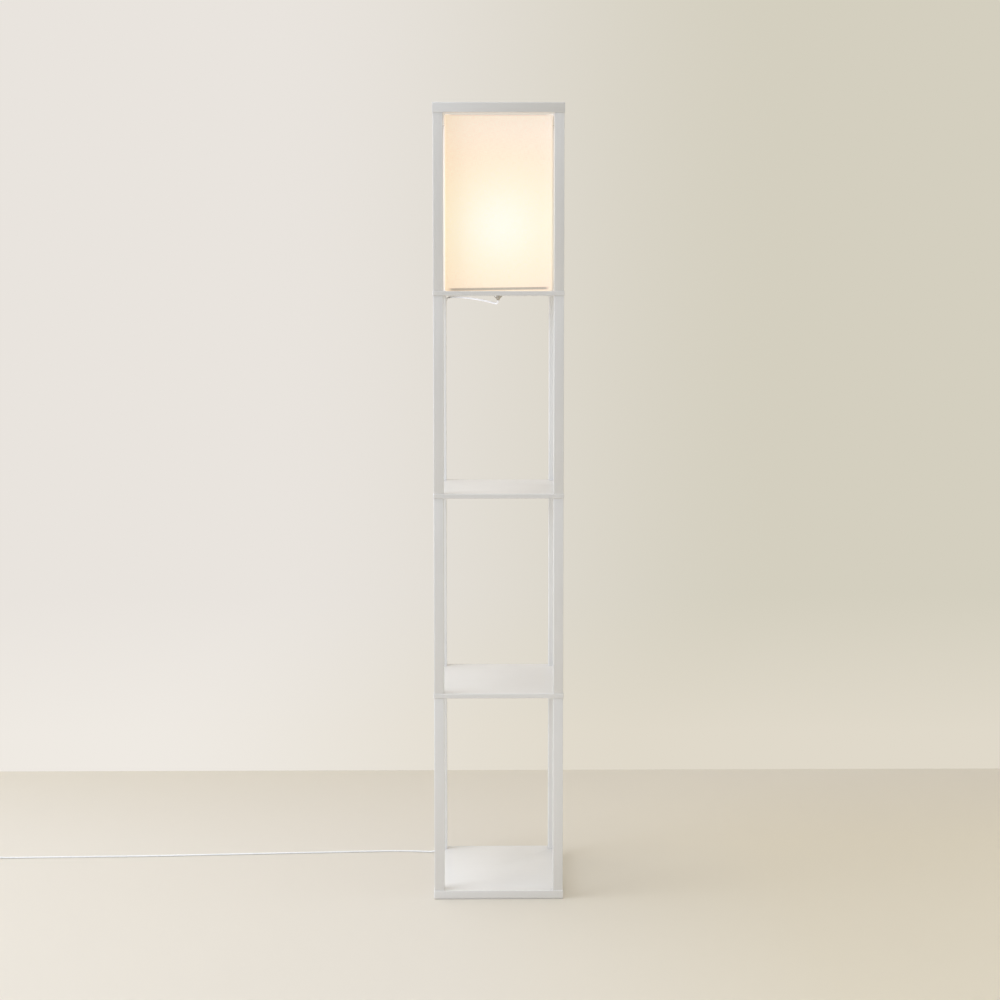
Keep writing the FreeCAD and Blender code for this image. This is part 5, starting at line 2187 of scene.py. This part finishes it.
@dataclass
class Stage:
    """The floor, the backdrop, an unseen wall that bounces light, the lights and the camera."""

    wall_place: float = 0.735
    wall_height: float = 5.0
    near: float = 6.0
    far: float = 25.0
    far_drop: float = 0.001
    camera_place: Point = (-0.02741, -3.1932, 1.20156)
    camera_dip: float = 0.0614
    camera_turn: float = -0.0098
    focal_pixels: float = 1554.9
    principal_row: float = 397.0
    frame_pixels: float = 1000.0

    def expose(self, obj: bpy.types.Object, shows: bool, lights: bool) -> None:
        """Sets whether the camera sees a piece of the set and whether light bounces off it.

        Args:
            obj: The piece.
            shows: Whether the camera sees it.
            lights: Whether light bounces off it.
        """
        obj.visible_camera = shows
        for kind in ("diffuse", "glossy", "transmission", "volume_scatter", "shadow"):
            setattr(obj, f"visible_{kind}", lights)

    def floor_corners(self, reach: float, height: float) -> list[Point]:
        """The corners of a floor that ends at the wall."""
        wall = self.wall_place
        places = ((-reach, -reach), (reach, -reach), (reach, wall), (-reach, wall))
        return [(x, y, height) for x, y in places]

    def plane(
        self, corners: Sequence[Point], wash: Wash, shows: bool = True, lights: bool = True
    ) -> None:
        """One flat surface of the set.

        Args:
            corners: Its four corners.
            wash: Its paint.
            shows: Whether the camera sees it.
            lights: Whether light bounces off it.
        """
        mesh = bpy.data.meshes.new(wash.name)
        mesh.from_pydata(corners, [], [tuple(range(len(corners)))])
        mesh.materials.append(wash.build())
        self.expose(added(wash.name, mesh), shows, lights)

    def build(self) -> None:
        """Makes the set."""
        near, wall, top = self.near, self.wall_place, self.wall_height
        self.plane(self.floor_corners(near, 0.0), FLOOR)
        self.plane(self.floor_corners(self.far, -self.far_drop), FLOOR, lights=False)
        corners = [(-near, wall, 0.0), (near, wall, 0.0), (near, wall, top), (-near, wall, top)]
        self.plane(corners, WALL, shows=False)
        self.expose(Backdrop().build(self.camera_place), shows=True, lights=False)
        for light in LIGHTS:
            light.build()
        Sky().build()
        self.camera()
        bpy.context.scene.view_settings.view_transform = "Standard"

    def camera(self) -> None:
        """Makes the camera at the photograph's viewing angle."""
        data = bpy.data.cameras.new("camera")
        data.sensor_width = 36.0
        data.lens = self.focal_pixels / self.frame_pixels * data.sensor_width
        data.shift_y = (self.principal_row - self.frame_pixels / 2) / self.frame_pixels
        obj = added("camera", data)
        obj.location = self.camera_place
        obj.rotation_euler = (math.pi / 2 - self.camera_dip, 0.0, self.camera_turn)
        bpy.context.scene.camera = obj


# --- The lamp -------------------------------------------------------------------------------


class Lamp:
    """The whole lamp: it dresses the CAD pieces and adds its own."""

    # The rear posts' front faces on Y, with a little room behind them: painted light whitens them.
    rear_face: float = 0.1102

    def __init__(self, frame: dict[str, Any]) -> None:
        """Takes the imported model.
        """
        self.nodes: dict[str, bpy.types.Object] = frame["nodes"]
        self.slots = {p["node"]: p["material_slot"] for p in frame["record"]["subparts"]}
        self.finishes: dict[str, bpy.types.Material] = {}
        self.level: bpy.types.Material | None = None
        self.inward: bpy.types.Material | None = None
        self.rear: bpy.types.Material | None = None

    def make_finishes(self) -> dict[str, bpy.types.Material]:
        """The finish of each material slot.

        Returns:
            The finishes by slot.
        """
        return {
            "painted_wood": SatinPaint("satin_paint_up", Grain.UP).build(),
            "zinc_steel": Metal("zinc_plate").build(),
            "white_wire": Plastic("white_powder_coat").build(),
            "chrome": Metal("polished_chrome", (0.56, 0.53, 0.48), 0.07).build(),
            "brass": Metal("bare_brass", (0.78, 0.58, 0.28), 0.25).build(),
            "white_plastic": Plastic("white_moulding").build(),
            "white_lead": Sheath().build(),
            "opal": LitOpal().build(),
            "board": Metal("board_aluminium", (0.8, 0.8, 0.78), 0.4).build(),
            "felt": Felt().build(),
            "beech": Beech().build(),
            "shade_linen": LitLinen().build(),
        }

    def finish_of(self, name: str) -> bpy.types.Material:
        """The finish of a CAD piece, whose paint follows the way that its wood runs.

        Args:
            name: The piece's name.

        Returns:
            Its finish.
        """
        if name.startswith(("base_board", "shelf_", "top_rail_front", "top_rail_rear")):
            return self.level
        if name.startswith("top_rail"):
            return self.inward
        if name.startswith("post_") and "_rear_" in name:
            return self.rear
        return self.finishes[self.slots[name]]

    def build(self) -> None:
        """Dresses the CAD pieces and makes the rest."""
        self.finishes = self.make_finishes()
        self.level = SatinPaint("satin_paint_across", Grain.ACROSS).build()
        self.inward = SatinPaint("satin_paint_inward", Grain.INWARD).build()
        # The rear posts' paint carries painted light: whiter on their front faces, more so higher
        # up.
        self.rear = SatinPaint("satin_paint_rear", Grain.UP, self.rear_face).build()
        for name, obj in self.nodes.items():
            finish = self.finish_of(name)
            obj.data.materials.clear()
            obj.data.materials.append(finish)
            log.info("%s has finish %s", name, finish.name)
        plastic, rubber = self.finishes["white_plastic"], self.finishes["white_lead"]
        brass = self.finishes["brass"]
        Woodwork().build(self.nodes, self.finish_of, self.slots)
        Shade().build(self.finishes["shade_linen"])
        Lampholder().build(plastic, brass)
        Bulb().build(self.finishes["zinc_steel"], plastic, self.finishes["opal"])
        ConeNut().build(self.finishes["chrome"])
        lead = Lead()
        switch, relief = Switch().build(self.nodes, plastic, rubber)
        plug = Plug().build(plastic, brass)
        tie = Tie().build(*lead.bundle, lead.coil_centre, rubber)
        housing = ["switch_base", "switch_cover", "switch_screws"]
        lead.build(rubber, [*housing, *switch], [relief, *plug, *tie])


def main() -> None:
    """Builds the lamp and its set."""
    logging.basicConfig(level=logging.INFO, format="%(message)s")
    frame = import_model()
    Stage().build()
    Lamp(frame).build()
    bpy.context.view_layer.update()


if __name__ == "__main__":
    main()
